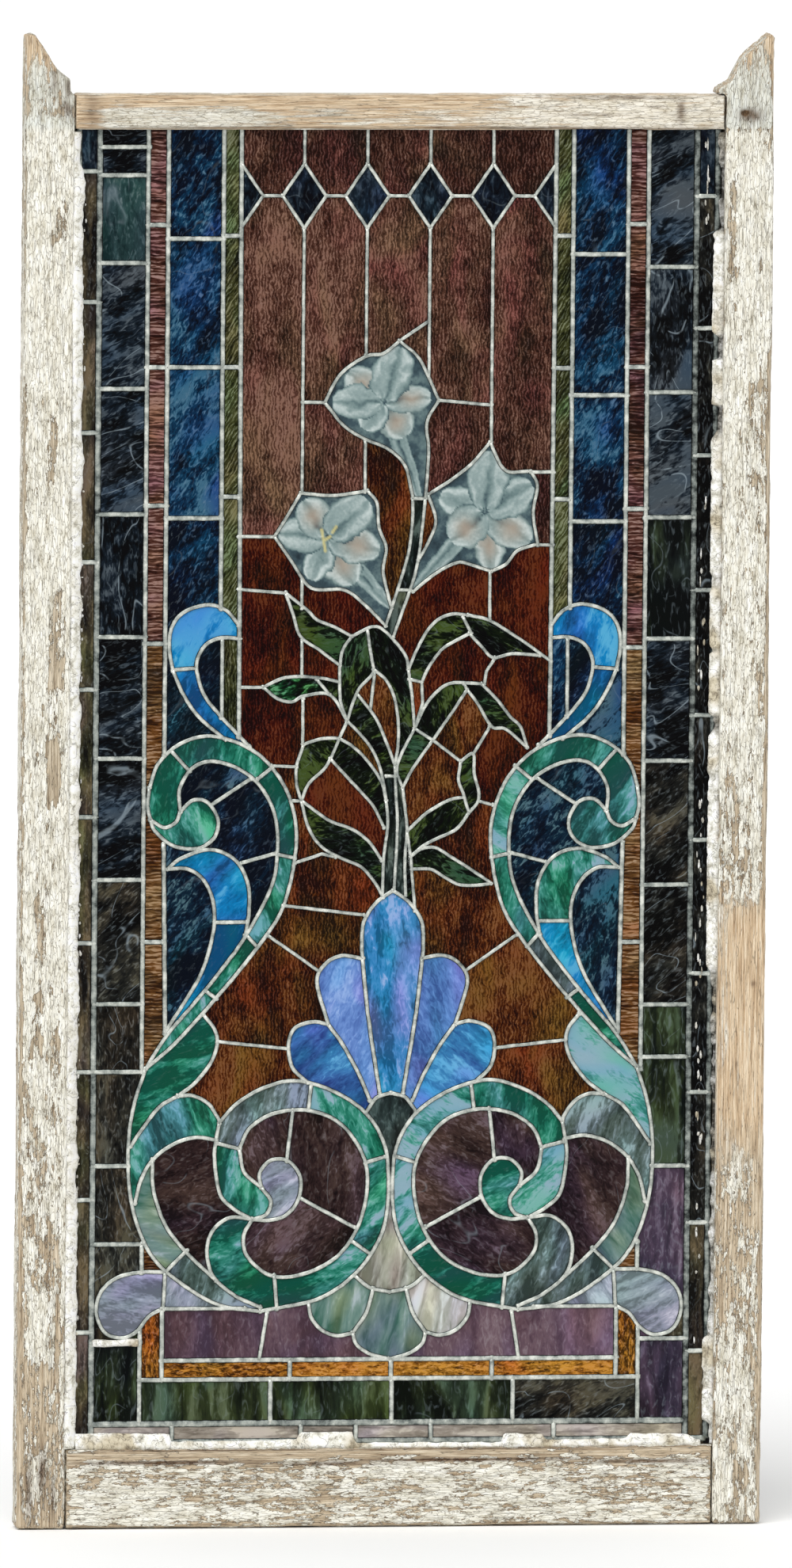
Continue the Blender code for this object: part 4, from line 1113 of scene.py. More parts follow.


# points this far apart carry the painting
PAINT_PITCH = 1.3
lily_enamel = lily_finish()
for pane in lilies:
    centre, petals, tube = min(FLOWERS, key=lambda flower: (Vector(flower[0]) - pane["middle"]).length)
    rim = outset(pane["rim"], TUCK)
    low = [min(point[side] for point in rim) for side in (0, 1)]
    high = [max(point[side] for point in rim) for side in (0, 1)]
    columns, rows = [np.arange(start, stop, PAINT_PITCH) for start, stop in zip(low, high)]
    grid = [Vector((x, z)) for x in columns for z in rows]
    flat, _, triangles, *_ = delaunay_2d_cdt(rim + grid, [], [list(range(len(rim)))], 1, 0.01)
    points, faces = slab(flat, [tuple(tri) for tri in triangles])
    made = piece(pane["node"] + "_painted", (points, faces), lily_enamel, [pane["node"]],
                 smooth=False)
    thick, warm = enamel(points, centre, petals, tube)
    for name, values in (("enamel", thick), ("warm", warm), ("pollen", pollen(points))):
        keep(made, name, values)
print("painted panes:", [pane["node"] for pane in lilies])

# %% [markdown]
# ## Lead cames
#
# A came is a bar of soft lead with a groove on each side. From the front it is a low rounded strip,
# slightly uneven where the glazier dressed it down, with a flat blob of solder at each joint.

# %% Sweep the cames
FINE_HALF, SCROLL_HALF = 2.1, 2.35
# a came's section: sides in half widths, and how far each point stands out, as a share of the lead's
# height over the glass. The front is crowned and the back is a plain ridge.
FRONT_SECTION = ((-0.97, 0.35), (-0.66, 0.86), (0, 1), (0.66, 0.86), (0.97, 0.35))
BACK_SECTION = ((0.97, 0.4), (0, 1), (-0.97, 0.4))
# the edges of the front end this far behind the face of the glass
SUNK = 0.4


def came(lead, half, shine, step, seed):
    """A lead as a closed crowned bar along its plan line, and its painted light: how bright each of its
    points is.
    """
    spots = [lead[0]]
    for start, stop in zip(lead, lead[1:]):
        count = max(1, round((stop - start).length / step))
        spots += [start.lerp(stop, index / count) for index in range(1, count + 1)]
    line = np.array([tuple(spot) for spot in spots])
    along = np.gradient(line, axis=0)
    along /= np.linalg.norm(along, axis=1, keepdims=True)
    across = np.stack([-along[:, 1], along[:, 0]], axis=1)
    front = GLASS_FRONT_Y - LEAD_FRONT_Y
    back = LEAD_BACK_Y - GLASS_BACK_Y
    middle = (GLASS_FRONT_Y + GLASS_BACK_Y) / 2
    profile = [(-1, GLASS_FRONT_Y + SUNK)]
    profile += [(side, GLASS_FRONT_Y - share * front) for side, share in FRONT_SECTION]
    profile += [(1, GLASS_FRONT_Y + SUNK)]
    profile += [(side, GLASS_BACK_Y + share * back) for side, share in BACK_SECTION]
    rings = np.zeros((len(line), len(profile), 3))
    for corner, (side, depth) in enumerate(profile):
        spot = line + across * side * half
        sample = np.stack([spot[:, 0], np.full(len(line), depth * 3), spot[:, 1]], axis=1)
        wander = (soft_noise(sample, 7.0, seed) - 0.5) * 0.5
        rings[:, corner, 0] = spot[:, 0] + across[:, 0] * wander
        rings[:, corner, 2] = spot[:, 1] + across[:, 1] * wander
        dent = soft_noise(sample, 5.0, seed + 5) * 0.35
        rings[:, corner, 1] = depth + (dent if depth < middle else -dent)
    # painted light: each point's brightness is high on the crown of front and back, as a highlight, and low
    # on the flanks and sides, as shade; leads also get lighter toward the bottom of the panel
    crown = np.tile([min(1, 2.4 * (1 - abs(side))) for side, _ in profile], len(line))
    return loft(rings), crown * shine + 0.1 * np.clip(1 - rings[:, :, 2].ravel() / 700, 0, 1)


print(f"a came's section has {len(FRONT_SECTION) + len(BACK_SECTION) + 2} points")

# %% Lumps of solder and putty
LUMP_SIDES = 12
# a lump's rings from its foot up: how far out, how high, and how bright solder is there, a painted highlight
# toward its top and painted shade at its foot
LUMP = ((1.0, 0.0, 0.3), (0.88, 0.55, 0.75), (0.55, 0.88, 0.95), (0.14, 1.0, 1.0))


def lump(spot, half_x, half_z, base_y, peak_y, seed):
    """A low uneven lens standing on a plane: solder on a joint, or a crumb of putty."""
    rings = []
    for share, height, _ in LUMP:
        turns = np.linspace(0, 2 * math.pi, LUMP_SIDES, endpoint=False)
        if peak_y > base_y:
            turns = turns[::-1]
        noise = soft_noise(np.stack([turns * 2, turns * 0, turns * 0 + seed], axis=1), 1.0)
        reach = share * (0.8 + 0.4 * noise)
        level_y = turns * 0 + base_y + height * (peak_y - base_y)
        rings.append(np.stack([spot[0] + half_x * reach * np.cos(turns), level_y,
                               spot[1] + half_z * reach * np.sin(turns)], axis=1))
    return loft(np.array(rings))


def solder(spot, radius, shine, seed):
    """A low lens of solder over a joint, front and back."""
    sides = ((GLASS_FRONT_Y + 0.2, LEAD_FRONT_Y + 0.1), (GLASS_BACK_Y - 0.2, LEAD_BACK_Y - 0.1))
    bright = np.repeat([shade for _, _, shade in LUMP], LUMP_SIDES) * shine
    return [(lump(spot, radius, radius, base_y, peak_y, seed), bright) for base_y, peak_y in sides]


print(f"a lump has {LUMP_SIDES * len(LUMP)} points")

# %% Old lead
def lead_finish():
    """Old lead, dull and grey where it oxidised, with a painted highlight on its crown and painted shade
    toward its edges, where dark cement also lies.
    """
    made, shader = finish("lead", roughness=0.5, metallic=1.0)
    place = add(made, "TexCoord", out="Object")
    crown, = stored(made, "crown")
    patches = add(made, "TexNoise", Vector=place, Scale=1 / (9 * MM), Detail=6.0, Roughness=0.65)
    tone = add(made, "Math", crown, 0.95, -1.0, operation="MULTIPLY_ADD")
    tone = add(made, "Math", patches, 1.7, tone, operation="MULTIPLY_ADD")
    color = add(made, "ValToRGB", tone, stops=((0.0, "#171919"), (0.2, "#494e4c"), (0.42, "#858c88"),
                                               (0.68, "#b4b9b2"), (1.0, "#e9ebe3")))
    rough = add(made, "Math", patches, 0.3, 0.35, operation="MULTIPLY_ADD")
    made.node_tree.links.new(rough, shader.inputs["Roughness"])
    grain = add(made, "TexNoise", Vector=place, Scale=1 / (1.6 * MM), Detail=3.0)
    return dress(made, shader, color, grain, 0.2, strength=0.5)


lead_metal = lead_finish()
print(len(lead_metal.node_tree.nodes), "nodes in the lead")

# %% The cames in three sets
# half width and how strongly the painted highlight lies on the crown; the wide cames get less of it and are
# duller, most of all on the right
came_sets = {
    "border_cames": [(lead, CAME_WIDTH / 2, 0.95) for lead in border]
                    + [(lead, BORDER_CAME_WIDTH / 2, 0.55 if lead[0].x > 300 else 0.72) for lead in wide],
    "scroll_cames": [(lead, SCROLL_HALF, 1.0) for lead in scrolls],
    "plant_cames": [(lead, FINE_HALF, 1.0) for lead in plant],
}
CAME_STEP = 5.0
joint_seed = 0
for name, members in came_sets.items():
    solids = []
    for index, (lead, half, shine) in enumerate(members):
        solids.append(came(lead, half, shine, CAME_STEP, index))
        for end in (lead[0], lead[-1]):
            joint_seed += 1
            # the joints at the panel's own rim get no solder
            if abs(end.x) < PANEL_X - 5 and PANEL_LOW_Z + 5 < end.y < PANEL_TOP_Z - 8:
                solids += solder(end, half * rng.uniform(1.05, 1.35), shine, joint_seed)
    made = piece(name, join([solid for solid, _ in solids]), lead_metal, ["came_network"])
    keep(made, "crown", np.concatenate([crown for _, crown in solids]))
    print(f"{name}: {sum(len(face.vertices) - 2 for face in made.data.polygons)} triangles")

# %% [markdown]
# ## The wooden sash
#
# The members keep their CAD form. Each is remeshed finely enough to take relief, then its surface is
# pressed in where paint has gone and along the grain, always inward, so that the sash keeps its size.

# %% Weather a CAD member
WOOD_PITCH = 2.0


def weathered(name, sculpt, material):
    """A finely remeshed copy of a CAD node, its points moved by a function of place and normal."""
    made = frame["nodes"][name].copy()
    made.data = frame["nodes"][name].data.copy()
    made.name = name + "_aged"
    for key in list(made.keys()):
        del made[key]
    made.parent = None
    made.hide_render = made.hide_viewport = False
    bpy.context.scene.collection.objects.link(made)
    remesh = made.modifiers.new("remesh", "REMESH")
    remesh.mode = "VOXEL"
    remesh.voxel_size = WOOD_PITCH * MM
    remesh.use_smooth_shade = True
    bpy.context.view_layer.update()
    mesh = bpy.data.meshes.new_from_object(made.evaluated_get(bpy.context.evaluated_depsgraph_get()))
    made.modifiers.clear()
    made.data = mesh
    mesh.materials.clear()
    mesh.materials.append(material)
    count = len(mesh.vertices)
    points, normals = np.zeros(count * 3), np.zeros(count * 3)
    mesh.vertices.foreach_get("co", points)
    mesh.vertex_normals.foreach_get("vector", normals)
    points, normals = points.reshape(-1, 3) / MM, normals.reshape(-1, 3)
    depth, kept = sculpt(points, normals)
    low, high = box_mm(name)
    points = np.clip(points - normals * depth[:, None], low, high)
    mesh.vertices.foreach_set("co", (points * MM).ravel())
    for key, values in kept.items():
        keep(made, key, values)
    stand_in(made, [name])
    print(f"{made.name}: {2 * len(mesh.polygons)} triangles")


print(f"the members are remeshed every {WOOD_PITCH} mm")

# %% Old paint on old wood
def wood_finish():
    """Softwood under many coats of cream oil paint that has crazed and flaked."""
    made, shader = finish("wood_cream_paint", roughness=0.75)
    grain = add(made, "Attribute", attribute_name="grain", out="Vector")
    paint, warm, stain, rubbed, cool = stored(made, "paint", "warm", "stain", "rubbed", "cool")

    def scaled(*size):
        return add(made, "Mapping", Vector=grain, Scale=[1 / side for side in size])

    def along_grain(*size, **values):
        return add(made, "TexNoise", Vector=scaled(*size), Scale=1.0, **values)

    fibres = along_grain(1.3, 1.3, 45, Detail=5.0, Roughness=0.65)
    chips = along_grain(1.4, 1.4, 4, Detail=4.0, Roughness=0.7)
    lifts = along_grain(3.2, 3.2, 12, Detail=3.0, Roughness=0.6)
    dirt = along_grain(9, 9, 30, Detail=7.0, Roughness=0.8)
    splits = along_grain(2.6, 2.6, 48, Detail=2.5)
    bent = along_grain(4, 4, 15, Detail=3.0, out="Color")
    bent = add(made, "VectorMath", bent, (1.6, 1.6, 1.6), scaled(3.0, 3.0, 13), operation="MULTIPLY_ADD")
    cells = add(made, "TexVoronoi", feature="DISTANCE_TO_EDGE", Vector=bent, Scale=1.0, out="Distance")

    # the coats end where paint, chips and lifts together fall under a half
    edge = add(made, "Math", paint, 0.9, operation="SUBTRACT")
    edge = add(made, "Math", chips, 0.6, edge, operation="MULTIPLY_ADD")
    edge = add(made, "Math", lifts, 1.2, edge, operation="MULTIPLY_ADD")
    mask = add(made, "ValToRGB", edge, stops=((0.48, BLACK), (0.52, WHITE)))
    wash = add(made, "Math", paint, 1.2, operation="SUBTRACT")
    wash = add(made, "Math", along_grain(2.2, 2.2, 70, Detail=5.0, Roughness=0.6), 2.4, wash,
               operation="MULTIPLY_ADD")
    wash = add(made, "ValToRGB", wash, stops=((0.38, BLACK), (0.66, "#e0e0e0")))
    mask = add(made, "Mix", rubbed, mask, wash, **BLEND)
    # painted shadow: the broken edge of the coats gets a dark outline where it stands off the wood
    rim = add(made, "ValToRGB", edge, stops=((0.41, WHITE), (0.475, "#75674f"), (0.52, WHITE)))
    rim = add(made, "Mix", rubbed, rim, WHITE, **BLEND)
    split = hairline(made, splits, 0.018, "#4c4133", WHITE)
    craze = add(made, "ValToRGB", cells, stops=((0.0, "#75684f"), (0.06, WHITE)))

    grey = add(made, "ValToRGB", fibres, stops=((0.34, "#7b6e5b"), (0.44, "#a39781"), (0.54, "#c0b49d"),
                                                (0.66, "#dbd0bb")))
    tan = add(made, "ValToRGB", fibres, stops=((0.32, "#987a5c"), (0.42, "#c2a582"), (0.54, "#dcc4a3"),
                                               (0.66, "#f2e2c8")))
    coat = add(made, "ValToRGB", dirt, stops=((0.34, "#b5ac95"), (0.43, "#dfdac9"), (0.52, "#f5f2e5"),
                                              (0.62, "#fffef5")))
    coat = add(made, "Mix", cool, coat, "#eef2f4", **DARKEN)
    coat = add(made, "Mix", 0.7, coat, craze, **DARKEN)
    color = add(made, "Mix", mask, add(made, "Mix", warm, grey, tan, **BLEND), coat, **BLEND)
    for share, layer in ((0.85, rim), (0.7, split), (stain, "#6b4f33")):
        color = add(made, "Mix", share, color, layer, **DARKEN)
    cracks = add(made, "Math", craze, split, operation="MULTIPLY")
    height = add(made, "Math", fibres, 0.5, mask, operation="MULTIPLY_ADD")
    height = add(made, "Math", cracks, 0.5, height, operation="MULTIPLY_ADD")
    return dress(made, shader, color, height, 0.5)


painted_wood = wood_finish()
print(len(painted_wood.node_tree.nodes), "nodes in the painted wood")

# %% Where the paint has gone
# patches of a stile's face: distance from the outer edge and height, both from and to, then what
# they add to the paint
PATCHES = {
    "left_stile": ((26, 48, 1311, 1374, -0.7), (25, 35, 1046, 1150, -0.6), (26, 47, 856, 974, -0.7),
                   (25, 41, 742, 817, -0.7), (16, 28, 586, 659, -0.6), (0, 4, 0, 1200, -0.5),
                   (10, 26, 480, 560, -0.5), (12, 40, 170, 250, 0.4), (44, 51, 100, 1440, 0.4)),
    "right_stile": ((37, 48, 1290, 1400, -0.7), (12, 15, 1150, 1330, -0.6), (0, 5, 0, 1220, -0.7),
                    (8, 17, 640, 790, 0.5), (40, 51, 395, 634, 0.35), (12, 30, 1180, 1290, 0.2),
                    (30, 50, 20, 70, 0.4), (20, 45, 330, 420, 0.3)),
    "top_rail": ((0, 700, 1464, 1477, -0.3),),
    "bottom_rail": ((0, 700, 69, 84, -0.9),),
}
# how much paint is left at heights up the stiles, or at places along the rails
COVER = {
    "left_stile": ((0, 0.42), (150, 0.5), (300, 0.56), (450, 0.58), (600, 0.72), (750, 0.84), (900, 0.86),
                   (1300, 0.9), (1448, 0.85), (1456, 0.45), (1475, 0.65), (1500, 0.62), (1512, 0.35),
                   (1541, 0.1)),
    "right_stile": ((0, 0.55), (120, 0.52), (300, 0.46), (380, 0.34), (410, 0.1), (620, 0.05), (650, 0.5),
                    (800, 0.6), (1000, 0.68), (1400, 0.8), (1436, 0.7), (1441, 0.5), (1446, 0.75),
                    (1490, 0.75), (1508, 0.5), (1541, 0.25)),
    "top_rail": ((-337, 0.3), (-315, 0.4), (-300, 0.95), (-170, 0.85), (-120, 0.42), (60, 0.4), (120, 0.8),
                 (240, 1.1), (300, 1.0), (337, 1.1)),
    "bottom_rail": ((-337, 0.64), (-200, 0.64), (-100, 0.58), (100, 0.58), (337, 0.6)),
}
# stains and holes on the front: x, z, half width, half height, how dark, how deep
MARKS = {
    "left_stile": ((-360, 58, 4, 26, 0.9, 0.6), (-374, 40, 3, 34, 0.9, 0.6), (-349, 30, 2.5, 24, 0.8, 0.5),
                   (-345, 1462, 6, 9, 0.8, 0.9), (-344, 1482, 5, 13, 0.7, 0.9),
                   (-357, 1488, 4, 14, 0.6, 0.7), (-350, 1500, 9, 5, 0.5, 0.6)),
    "right_stile": ((357, 1458, 4.5, 4, 1.8, 4.0), (362, 1456, 14, 8, 0.9, 0.1), (374, 560, 3, 3, 0.6, 0.3)),
    "top_rail": ((-318, 1462, 9, 30, 0.5, 0.2), (290, 1458, 4, 14, 0.8, 0.4), (-70, 1458, 30, 8, 0.2, 0.0),
                 (-170, 1441, 160, 2.2, 0.7, 0.3), (150, 1441, 170, 2.4, 0.9, 0.4),
                 (230, 1474, 70, 1.8, 0.8, 0.3), (200, 1456, 30, 1.6, 0.5, 0.3),
                 (265, 1464, 12, 1.4, 0.6, 0.3)),
    "bottom_rail": ((-230, 68, 90, 1.8, 1.3, 1.0), (-60, 66, 60, 1.5, 1.0, 0.8), (80, 69, 110, 1.8, 1.3, 1.0),
                    (270, 66, 60, 1.6, 1.2, 0.9), (-200, 81, 110, 1.2, 0.9, 0.3),
                    (120, 81, 150, 1.2, 0.9, 0.3)),
}
print("marks:", {name: len(marks) for name, marks in MARKS.items()})

# %% The weathering of a member
def smooth(value):
    """An eased step from 0 to 1."""
    value = np.clip(value, 0, 1)
    return value * value * (3 - 2 * value)


# how warm the bare wood is and how far the paint is rubbed away, at heights up each stile
WARM = {"left_stile": ((0, 0.45), (300, 0.4), (500, 0.3), (1440, 0.15), (1505, 0.9)),
        "right_stile": ((0, 0.3), (380, 0.5), (420, 1.0), (620, 1.0), (680, 0.35), (1440, 0.25), (1510, 0.9))}
RUBBED = {"left_stile": ((1440, 0.0), (1460, 0.3), (1480, 0.1), (1500, 0.3)),
          "right_stile": ((360, 0.0), (410, 0.9), (620, 0.9), (660, 0.0), (1440, 0.0), (1500, 0.3))}


def member_sculpt(name, upright):
    """The weathering of one member of the sash."""
    low, high = map(np.array, box_mm(name))

    def sculpt(points, normals):
        x, y, z = points.T
        front = smooth((-normals[:, 1] - 0.4) * 4)
        grain = points if upright else points[:, [2, 1, 0]]
        if upright:
            edge = HALF_SASH - np.abs(x)
            cover = np.interp(z, *zip(*COVER[name]))
            warm = np.interp(z, *zip(*WARM[name]))
            rubbed = np.interp(z, *zip(*RUBBED[name]))
            cool = smooth((z - 1436) / 10)
        else:
            edge = x - low[0]
            cover = np.interp(x, *zip(*COVER[name]))
            warm = np.full(len(x), 0.9 if name == "top_rail" else 0.45)
            rubbed = np.full(len(x), 0.9 if name == "top_rail" else 0.0)
            cool = rubbed * smooth(-x / 80)
        if name == "top_rail":
            cover = cover - 0.6 * smooth((z - 1460) / 5) * smooth((100 - x) / 80)
        cover = cover * front + (1 - front) * 0.55
        wobble = (rough_noise(grain, (6, 6, 22), 21) - 0.5) * 1.8
        for low_edge, high_edge, low_z, high_z, change in PATCHES[name]:
            inside = np.minimum.reduce([(edge - low_edge) / 5, (high_edge - edge) / 5,
                                        (z - low_z) / 20, (high_z - z) / 20])
            cover = cover + 0.7 * change * front * smooth(inside + 0.3 + wobble)
        side = np.sort(np.minimum(points - low, high - points), axis=1)[:, 1]
        worn = np.clip(1 - side / 6.0, 0, 1)
        flakes = rough_noise(grain, (6, 6, 24), 3) - 0.5
        broad = rough_noise(grain, (24, 24, 110), 5) - 0.5
        paint = cover + 0.5 * flakes + 0.55 * broad - 0.3 * worn
        bare = 1 - smooth((paint - 0.42) * 8)
        fibres = rough_noise(grain, (3.5, 3.5, 60), 9)
        depth = 0.12 + 0.7 * bare + 0.7 * fibres * bare
        depth += 1.5 * worn ** 2 * rough_noise(grain, (10, 10, 34), 6)
        stain = np.zeros(len(x))
        crumble = rough_noise(grain, (2.5, 2.5, 9), 25)
        for mark_x, mark_z, half_x, half_z, dark, deep in MARKS[name]:
            reach = np.exp(-((x - mark_x) / half_x) ** 2 - ((z - mark_z) / half_z) ** 2) * front
            reach = np.clip(reach * (0.3 + 1.4 * crumble), 0, 1)
            stain = np.maximum(stain, dark * reach)
            depth += deep * reach
        return depth, {"paint": paint, "warm": warm, "stain": stain, "rubbed": rubbed, "cool": cool,
                       "grain": grain}
    return sculpt


for name in COVER:
    sculpt = member_sculpt(name, upright="stile" in name)
    weathered(name, sculpt, painted_wood)

# %% [markdown]
# ## Putty
#
# Linseed putty holds the panel in its rebate, struck off as a slope from the arris down to the sight
# line. On the left it is thick and was painted over with the stile. On the right it has shrunk to a
# broken grey ridge, and below it has fallen out in blocks. Each fillet is one loft whose reach over
# the glass changes along its length.

# %% Old putty
def putty_finish(name, weathering):
    """Hard chalky putty with dark, soiled cracks, darkened further where a stored value asks: for grime, and
    for painted shade where the putty has fallen out of the rebate. Weathering is how far its paint has gone.
    """
    made, shader = finish(name, roughness=0.85)
    place = add(made, "TexCoord", out="Object")
    dirt, = stored(made, "dirt")
    tone = add(made, "TexNoise", Vector=place, Scale=1 / (9 * MM), Detail=8.0, Roughness=0.75)
    broad = add(made, "TexNoise", Vector=place, Scale=1 / (50 * MM), Detail=3.0)
    # the cream runs up to pure white, a painted highlight that keeps the left fillet bright though its slope
    # faces away from the sun
    cream = add(made, "ValToRGB", tone, stops=((0.26, "#b3a991"), (0.37, "#e8e3d2"), (0.46, "#f8f6ea"),
                                               (0.6, WHITE)))
    sandy = add(made, "ValToRGB", tone, stops=((0.28, "#8d8069"), (0.4, "#b5a88f"), (0.5, "#cfc4aa"),
                                               (0.7, "#e6dec9")))
    share = add(made, "ValToRGB", broad, stops=((0.5, BLACK), (0.62, WHITE)))
    share = add(made, "Math", share, weathering, operation="MULTIPLY")
    color = add(made, "Mix", share, cream, sandy, **BLEND)
    lines = add(made, "TexNoise", Vector=place, Scale=1 / (14 * MM), Detail=3.0, Distortion=0.6)
    crack = hairline(made, lines, 0.012, "#5a5044", WHITE)
    color = add(made, "Mix", 0.6, color, crack, **DARKEN)
    # grime and painted shade: the putty is mixed toward near black where its tone is low and where the stored
    # value asks, which on the right marks the empty rebate
    grime_and_shade = add(made, "Math", tone, 0.5, operation="SUBTRACT")
    grime_and_shade = add(made, "Math", grime_and_shade, -2.5, dirt, operation="MULTIPLY_ADD", use_clamp=True)
    color = add(made, "Mix", grime_and_shade, color, "#2a2722", **BLEND)
    height = add(made, "Math", crack, 0.5, tone, operation="MULTIPLY_ADD")
    return dress(made, shader, color, height, 0.8)


painted_putty, putty = putty_finish("painted_putty", 0.25), putty_finish("linseed_putty", 1.0)
print("finishes:", painted_putty.name, putty.name)

# %% How a fillet is lofted
# its slope from the glass up to the shoulder: shares of its reach and of its height
SLOPE = ((1.0, 0.18), (0.86, 0.42), (0.62, 0.62), (0.34, 0.86))
# its edge past the shoulder, inside the wood, and the length from one ring to the next
PAST_SHOULDER = -1.2
PUTTY_STEP = 2.5


def fillet(place, reach, height, seed):
    """A putty fillet: at each place along it, how far it reaches and how high it stands, in mm.

    Its points come back as distance from the shoulder, depth and place.
    """
    back = LEAD_FRONT_Y - GAP
    rings = []
    for along, out, up in zip(place, reach, height):
        ring = [(PAST_SHOULDER, back - up), (PAST_SHOULDER, back), (out, back)]
        ring += [(out * share, back - rise * up) for share, rise in SLOPE]
        rings.append([(distance, depth, along) for distance, depth in ring])
    rings = np.array(rings)
    flat = rings.reshape(-1, 3)
    shake = rough_noise(flat, (5, 5, 7), seed) - 0.5
    free = (flat[:, 0] > 0.4) & (flat[:, 1] < back - 0.1)
    flat[:, 0] += np.where(free, shake * 1.8, 0)
    flat[:, 1] += np.where(free, np.clip(rough_noise(flat, (6, 6, 9), seed + 3) - 0.4, 0, 1) * 2.0, 0)
    return flat.reshape(rings.shape)


print(f"a fillet's section has {len(SLOPE) + 3} points")

# %% How much putty is left along the rebate
FULL_HEIGHT = LEAD_FRONT_Y - GAP - (FRONT_Y + 0.5)
heights = np.arange(RAIL_Z + 0.8, HEAD_Z - 0.8, PUTTY_STEP)
line = np.stack([heights * 0, heights * 0, heights], axis=1)

wave = rough_noise(line, 22, 31) - 0.5
left_reach = REBATE_WIDTH + 0.6 + 7 * wave + 2.2 * (rough_noise(line, 6, 33) - 0.5)
left_reach -= 3.5 * smooth((heights - 1395) / 12)
left_height = FULL_HEIGHT * (0.93 + 0.25 * (rough_noise(line, 60, 35) - 0.5))

# the stretches that still hold on the right: middle and half length
HELD = ((1283, 50), (1015, 100), (700, 112), (1180, 22), (870, 30), (150, 40))
lost = smooth(np.minimum.reduce([np.abs(heights - middle) / half - 1 for middle, half in HELD]) * 6)
lost = np.clip(lost + 1.4 * (rough_noise(line, 14, 41) - 0.62), 0, 1)
right_reach = (1 - lost) * (REBATE_WIDTH + 3 * (rough_noise(line, 16, 37) - 0.5)) + lost * 2.2
right_height = FULL_HEIGHT * (0.42 + 0.12 * rough_noise(line, 25, 39)) * (1 - 0.5 * lost)

# the putty below at places along it: how far it reaches in millimetres, and its share of the full height
BLOCK_REACH = ((-329, 16), (-228, 15), (-226, 7), (-96, 8), (-92, 16), (-37, 15), (-35, 4), (117, 4),
               (120, 13), (161, 12), (163, 6), (248, 7), (251, 12), (311, 11), (320, 5))
BLOCK_HEIGHT = ((-329, 0.8), (-228, 0.75), (-226, 0.5), (-96, 0.5), (-92, 0.8), (-37, 0.8), (-35, 0.35),
                (117, 0.35), (120, 0.75), (161, 0.75), (163, 0.45), (320, 0.5))
across = np.arange(-SIGHT_X + 0.6, SIGHT_X - 0.6, PUTTY_STEP)
level_line = np.stack([across, across * 0, across * 0], axis=1)
bottom_reach = np.interp(across, *zip(*BLOCK_REACH))
bottom_reach = bottom_reach + 3.5 * (rough_noise(level_line, 9, 43) - 0.5)
bottom_height = FULL_HEIGHT * np.interp(across, *zip(*BLOCK_HEIGHT))
print(f"putty gone along {100 * lost.mean():.0f}% of the right side")

# %% The three fillets
left = fillet(heights, left_reach, left_height, 51)[:, ::-1]
left[:, :, 0] -= SHOULDER_X + GAP
right = fillet(heights, right_reach, right_height, 57)
right[:, :, 0] = SHOULDER_X + GAP - right[:, :, 0]
below = fillet(across, bottom_reach, bottom_height, 61)[:, :, [2, 1, 0]]
below[:, :, 2] += RAIL_Z
# a little grime everywhere, and painted shade of the empty rebate where the putty has gone, darker higher up
# the right side
grime_and_shade = lost * np.interp(heights, (92, 330, 420), (0.35, 0.5, 0.85)) + 0.12
for name, rings, dirt, material in (("left", left, lost * 0, painted_putty), ("right", right, grime_and_shade, putty),
                                    ("bottom", below, across * 0, putty)):
    made = piece(f"putty_{name}_fillet", loft(rings), material, ["putty_" + name])
    keep(made, "dirt", np.repeat(dirt, rings.shape[1]))
    print(f"{name} fillet: {len(rings)} rings")


# %% Crumbs of putty left on the glass
# side, from and to in height, how many, and the size that half their length is drawn from
CRUMBS = ((1, 395, 610, 18, 4.0), (1, 1345, 1425, 9, 6.0), (1, 620, 790, 11, 4.0), (1, 830, 1060, 12, 4.0),
          (1, 180, 330, 6, 3.0), (-1, 110, 700, 44, 2.0), (-1, 700, 1390, 40, 1.8))
# where the crumbs stand on the glass, just under its face
FOOT_Y = GLASS_FRONT_Y + 0.3
crumbs = []
for side, low_z, high_z, count, size in CRUMBS:
    for _ in range(count):
        z = rng.uniform(low_z, high_z)
        ridge = 7.0 + 8.0 * (soft_noise([(0, 0, z)], 24, 77)[0] - 0.5) if side > 0 else 1.5
        x = side * (SIGHT_X - ridge + rng.gauss(0, 1.6 if side > 0 else 0.8))
        crumbs.append(lump((x, z), rng.uniform(0.7, 1.5), rng.uniform(0.4, 1.5) * size,
                           FOOT_Y, GLASS_FRONT_Y - rng.uniform(1.2, 3.0), len(crumbs)))
made = piece("putty_crumbs", join(crumbs), putty, ["putty_right"])
keep(made, "dirt", np.full(len(made.data.vertices), 0.3))
print(len(crumbs), "crumbs")

# %% The strip of putty over the corner tile
strip = []
for x in np.arange(-BORDER_X + 1, -TILE_X - 1, PUTTY_STEP):
    top = 194.5 + 1.5 * soft_noise([(x, 0, 0)], 9, 71)[0]
    foot = 185.5 + 3.0 * soft_noise([(x, 0, 0)], 12, 73)[0]
    strip.append([(x, FOOT_Y, foot), (x, FOOT_Y, top), (x, LEAD_FRONT_Y - 0.8, top - 1.0),
                  (x, LEAD_FRONT_Y - 1.2, (top + foot) / 2), (x, LEAD_FRONT_Y - 0.3, foot + 1.2)])
made = piece("putty_corner_strip", loft(np.array(strip)[::-1]), putty, ["putty_left"])
keep(made, "dirt", np.full(len(made.data.vertices), 0.1))
print(f"corner strip: {len(strip)} rings")

# %% [markdown]
# ## Floor, light and camera
#
# The sash stands on a plain pale floor. A pale sky lights it evenly and one wide sun, high on the left,
# gives the leads and the flaking paint their form. The camera is far off with a long lens, a little
# to the left and above, so that upright lines stay nearly parallel.

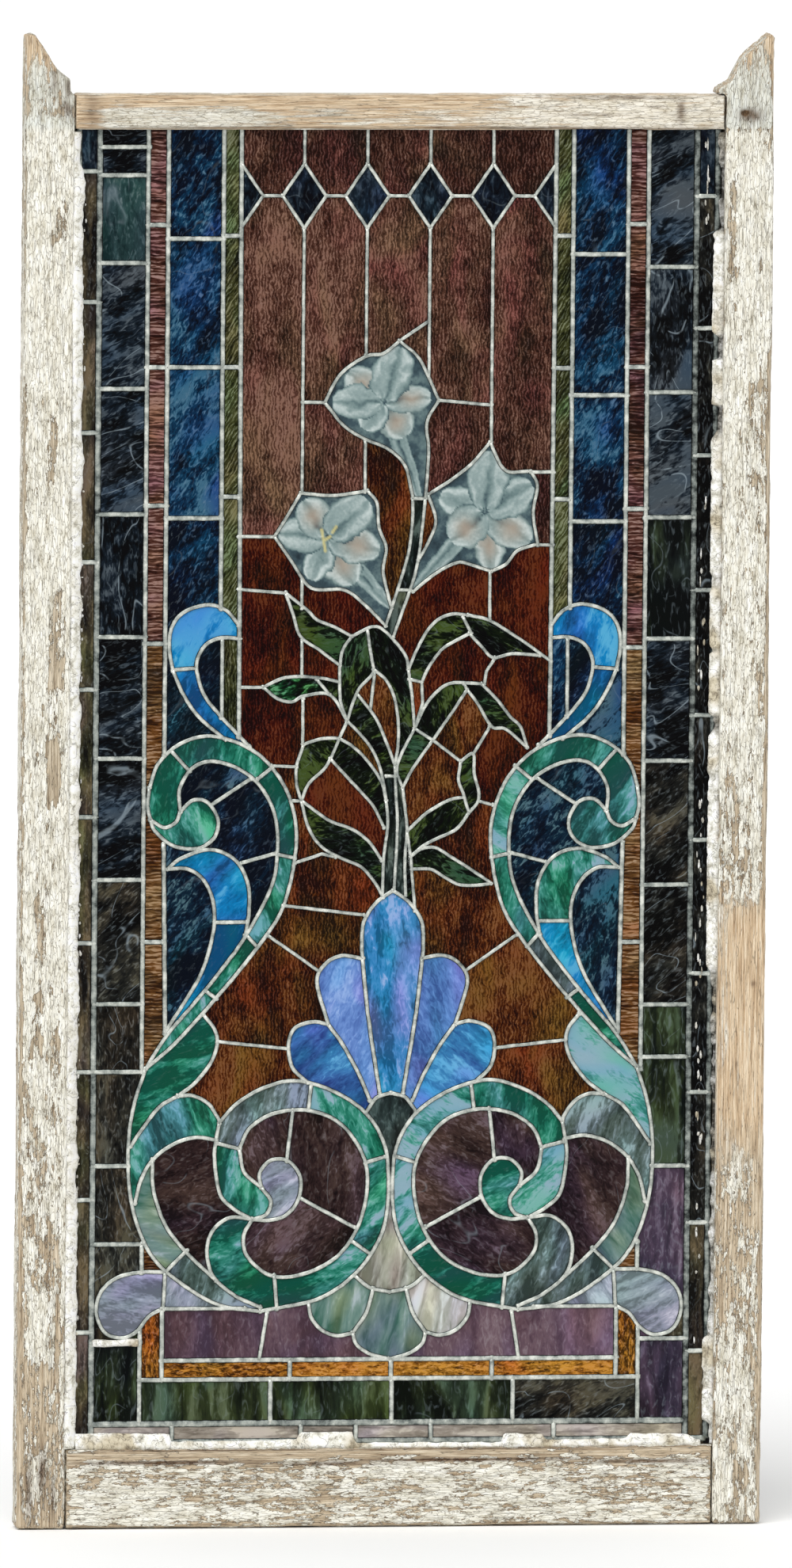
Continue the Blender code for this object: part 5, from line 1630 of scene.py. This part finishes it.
# %% Floor
FLOOR_REACH = 150.0
FLOOR_DROP = 0.5
pale, shader = finish("floor", roughness=0.9)
shader.inputs["Base Color"].default_value = linear("#fdfdfc")
mesh = bpy.data.meshes.new("floor")
corners = [(x * FLOOR_REACH, y * FLOOR_REACH, 0) for x, y in ((-1, -1), (1, -1), (1, 1), (-1, 1))]
mesh.from_pydata(corners, [], [(0, 1, 2, 3)])
mesh.materials.append(pale)
floor = bpy.data.objects.new("floor", mesh)
floor.location.z = -FLOOR_DROP * MM
bpy.context.scene.collection.objects.link(floor)
print(f"floor {2 * FLOOR_REACH:.0f} m wide, {FLOOR_DROP} mm under the sash")

# %% Sun and sky
sun = bpy.data.lights.new("sun", "SUN")
sun.energy = 1.62
sun.angle = math.radians(40)
sun_object = bpy.data.objects.new("sun", sun)
sun_object.rotation_euler = Vector((0.35, 0.55, -1.0)).to_track_quat("-Z", "Y").to_euler()
bpy.context.scene.collection.objects.link(sun_object)
world = bpy.data.worlds.new("studio")
world.use_nodes = True
world.node_tree.nodes["Background"].inputs["Color"].default_value = linear("#ffffff")
world.node_tree.nodes["Background"].inputs["Strength"].default_value = 0.7
bpy.context.scene.world = world
bpy.context.scene.view_settings.view_transform = "Standard"
print(f"sun {sun.energy:.2f}, spread over {math.degrees(sun.angle):.0f} degrees")

# %% Camera
# the height that the picture shows, and the point at its middle, in metres
FRAME_HEIGHT = 1.6113
AIM = Vector((0.003, 0, 0.7664))
SENSOR = 36.0
DISTANCE = 22.0
AZIMUTH, ELEVATION, ROLL = math.radians(-8), math.radians(5), math.radians(0.5)
camera_data = bpy.data.cameras.new("camera")
camera_data.sensor_fit = "VERTICAL"
camera_data.sensor_height = SENSOR
camera_data.lens = SENSOR * DISTANCE / FRAME_HEIGHT
camera_data.clip_end = 400
camera = bpy.data.objects.new("camera", camera_data)
away = Vector((math.sin(AZIMUTH) * math.cos(ELEVATION), -math.cos(AZIMUTH) * math.cos(ELEVATION),
               math.sin(ELEVATION)))
camera.location = AIM + away * DISTANCE
camera.rotation_mode = "QUATERNION"
camera.rotation_quaternion = (-away).to_track_quat("-Z", "Y") @ Quaternion((0, 0, 1), ROLL)
bpy.context.scene.collection.objects.link(camera)
bpy.context.scene.camera = camera
print(f"lens {camera_data.lens:.0f} mm at {DISTANCE:.0f} m")
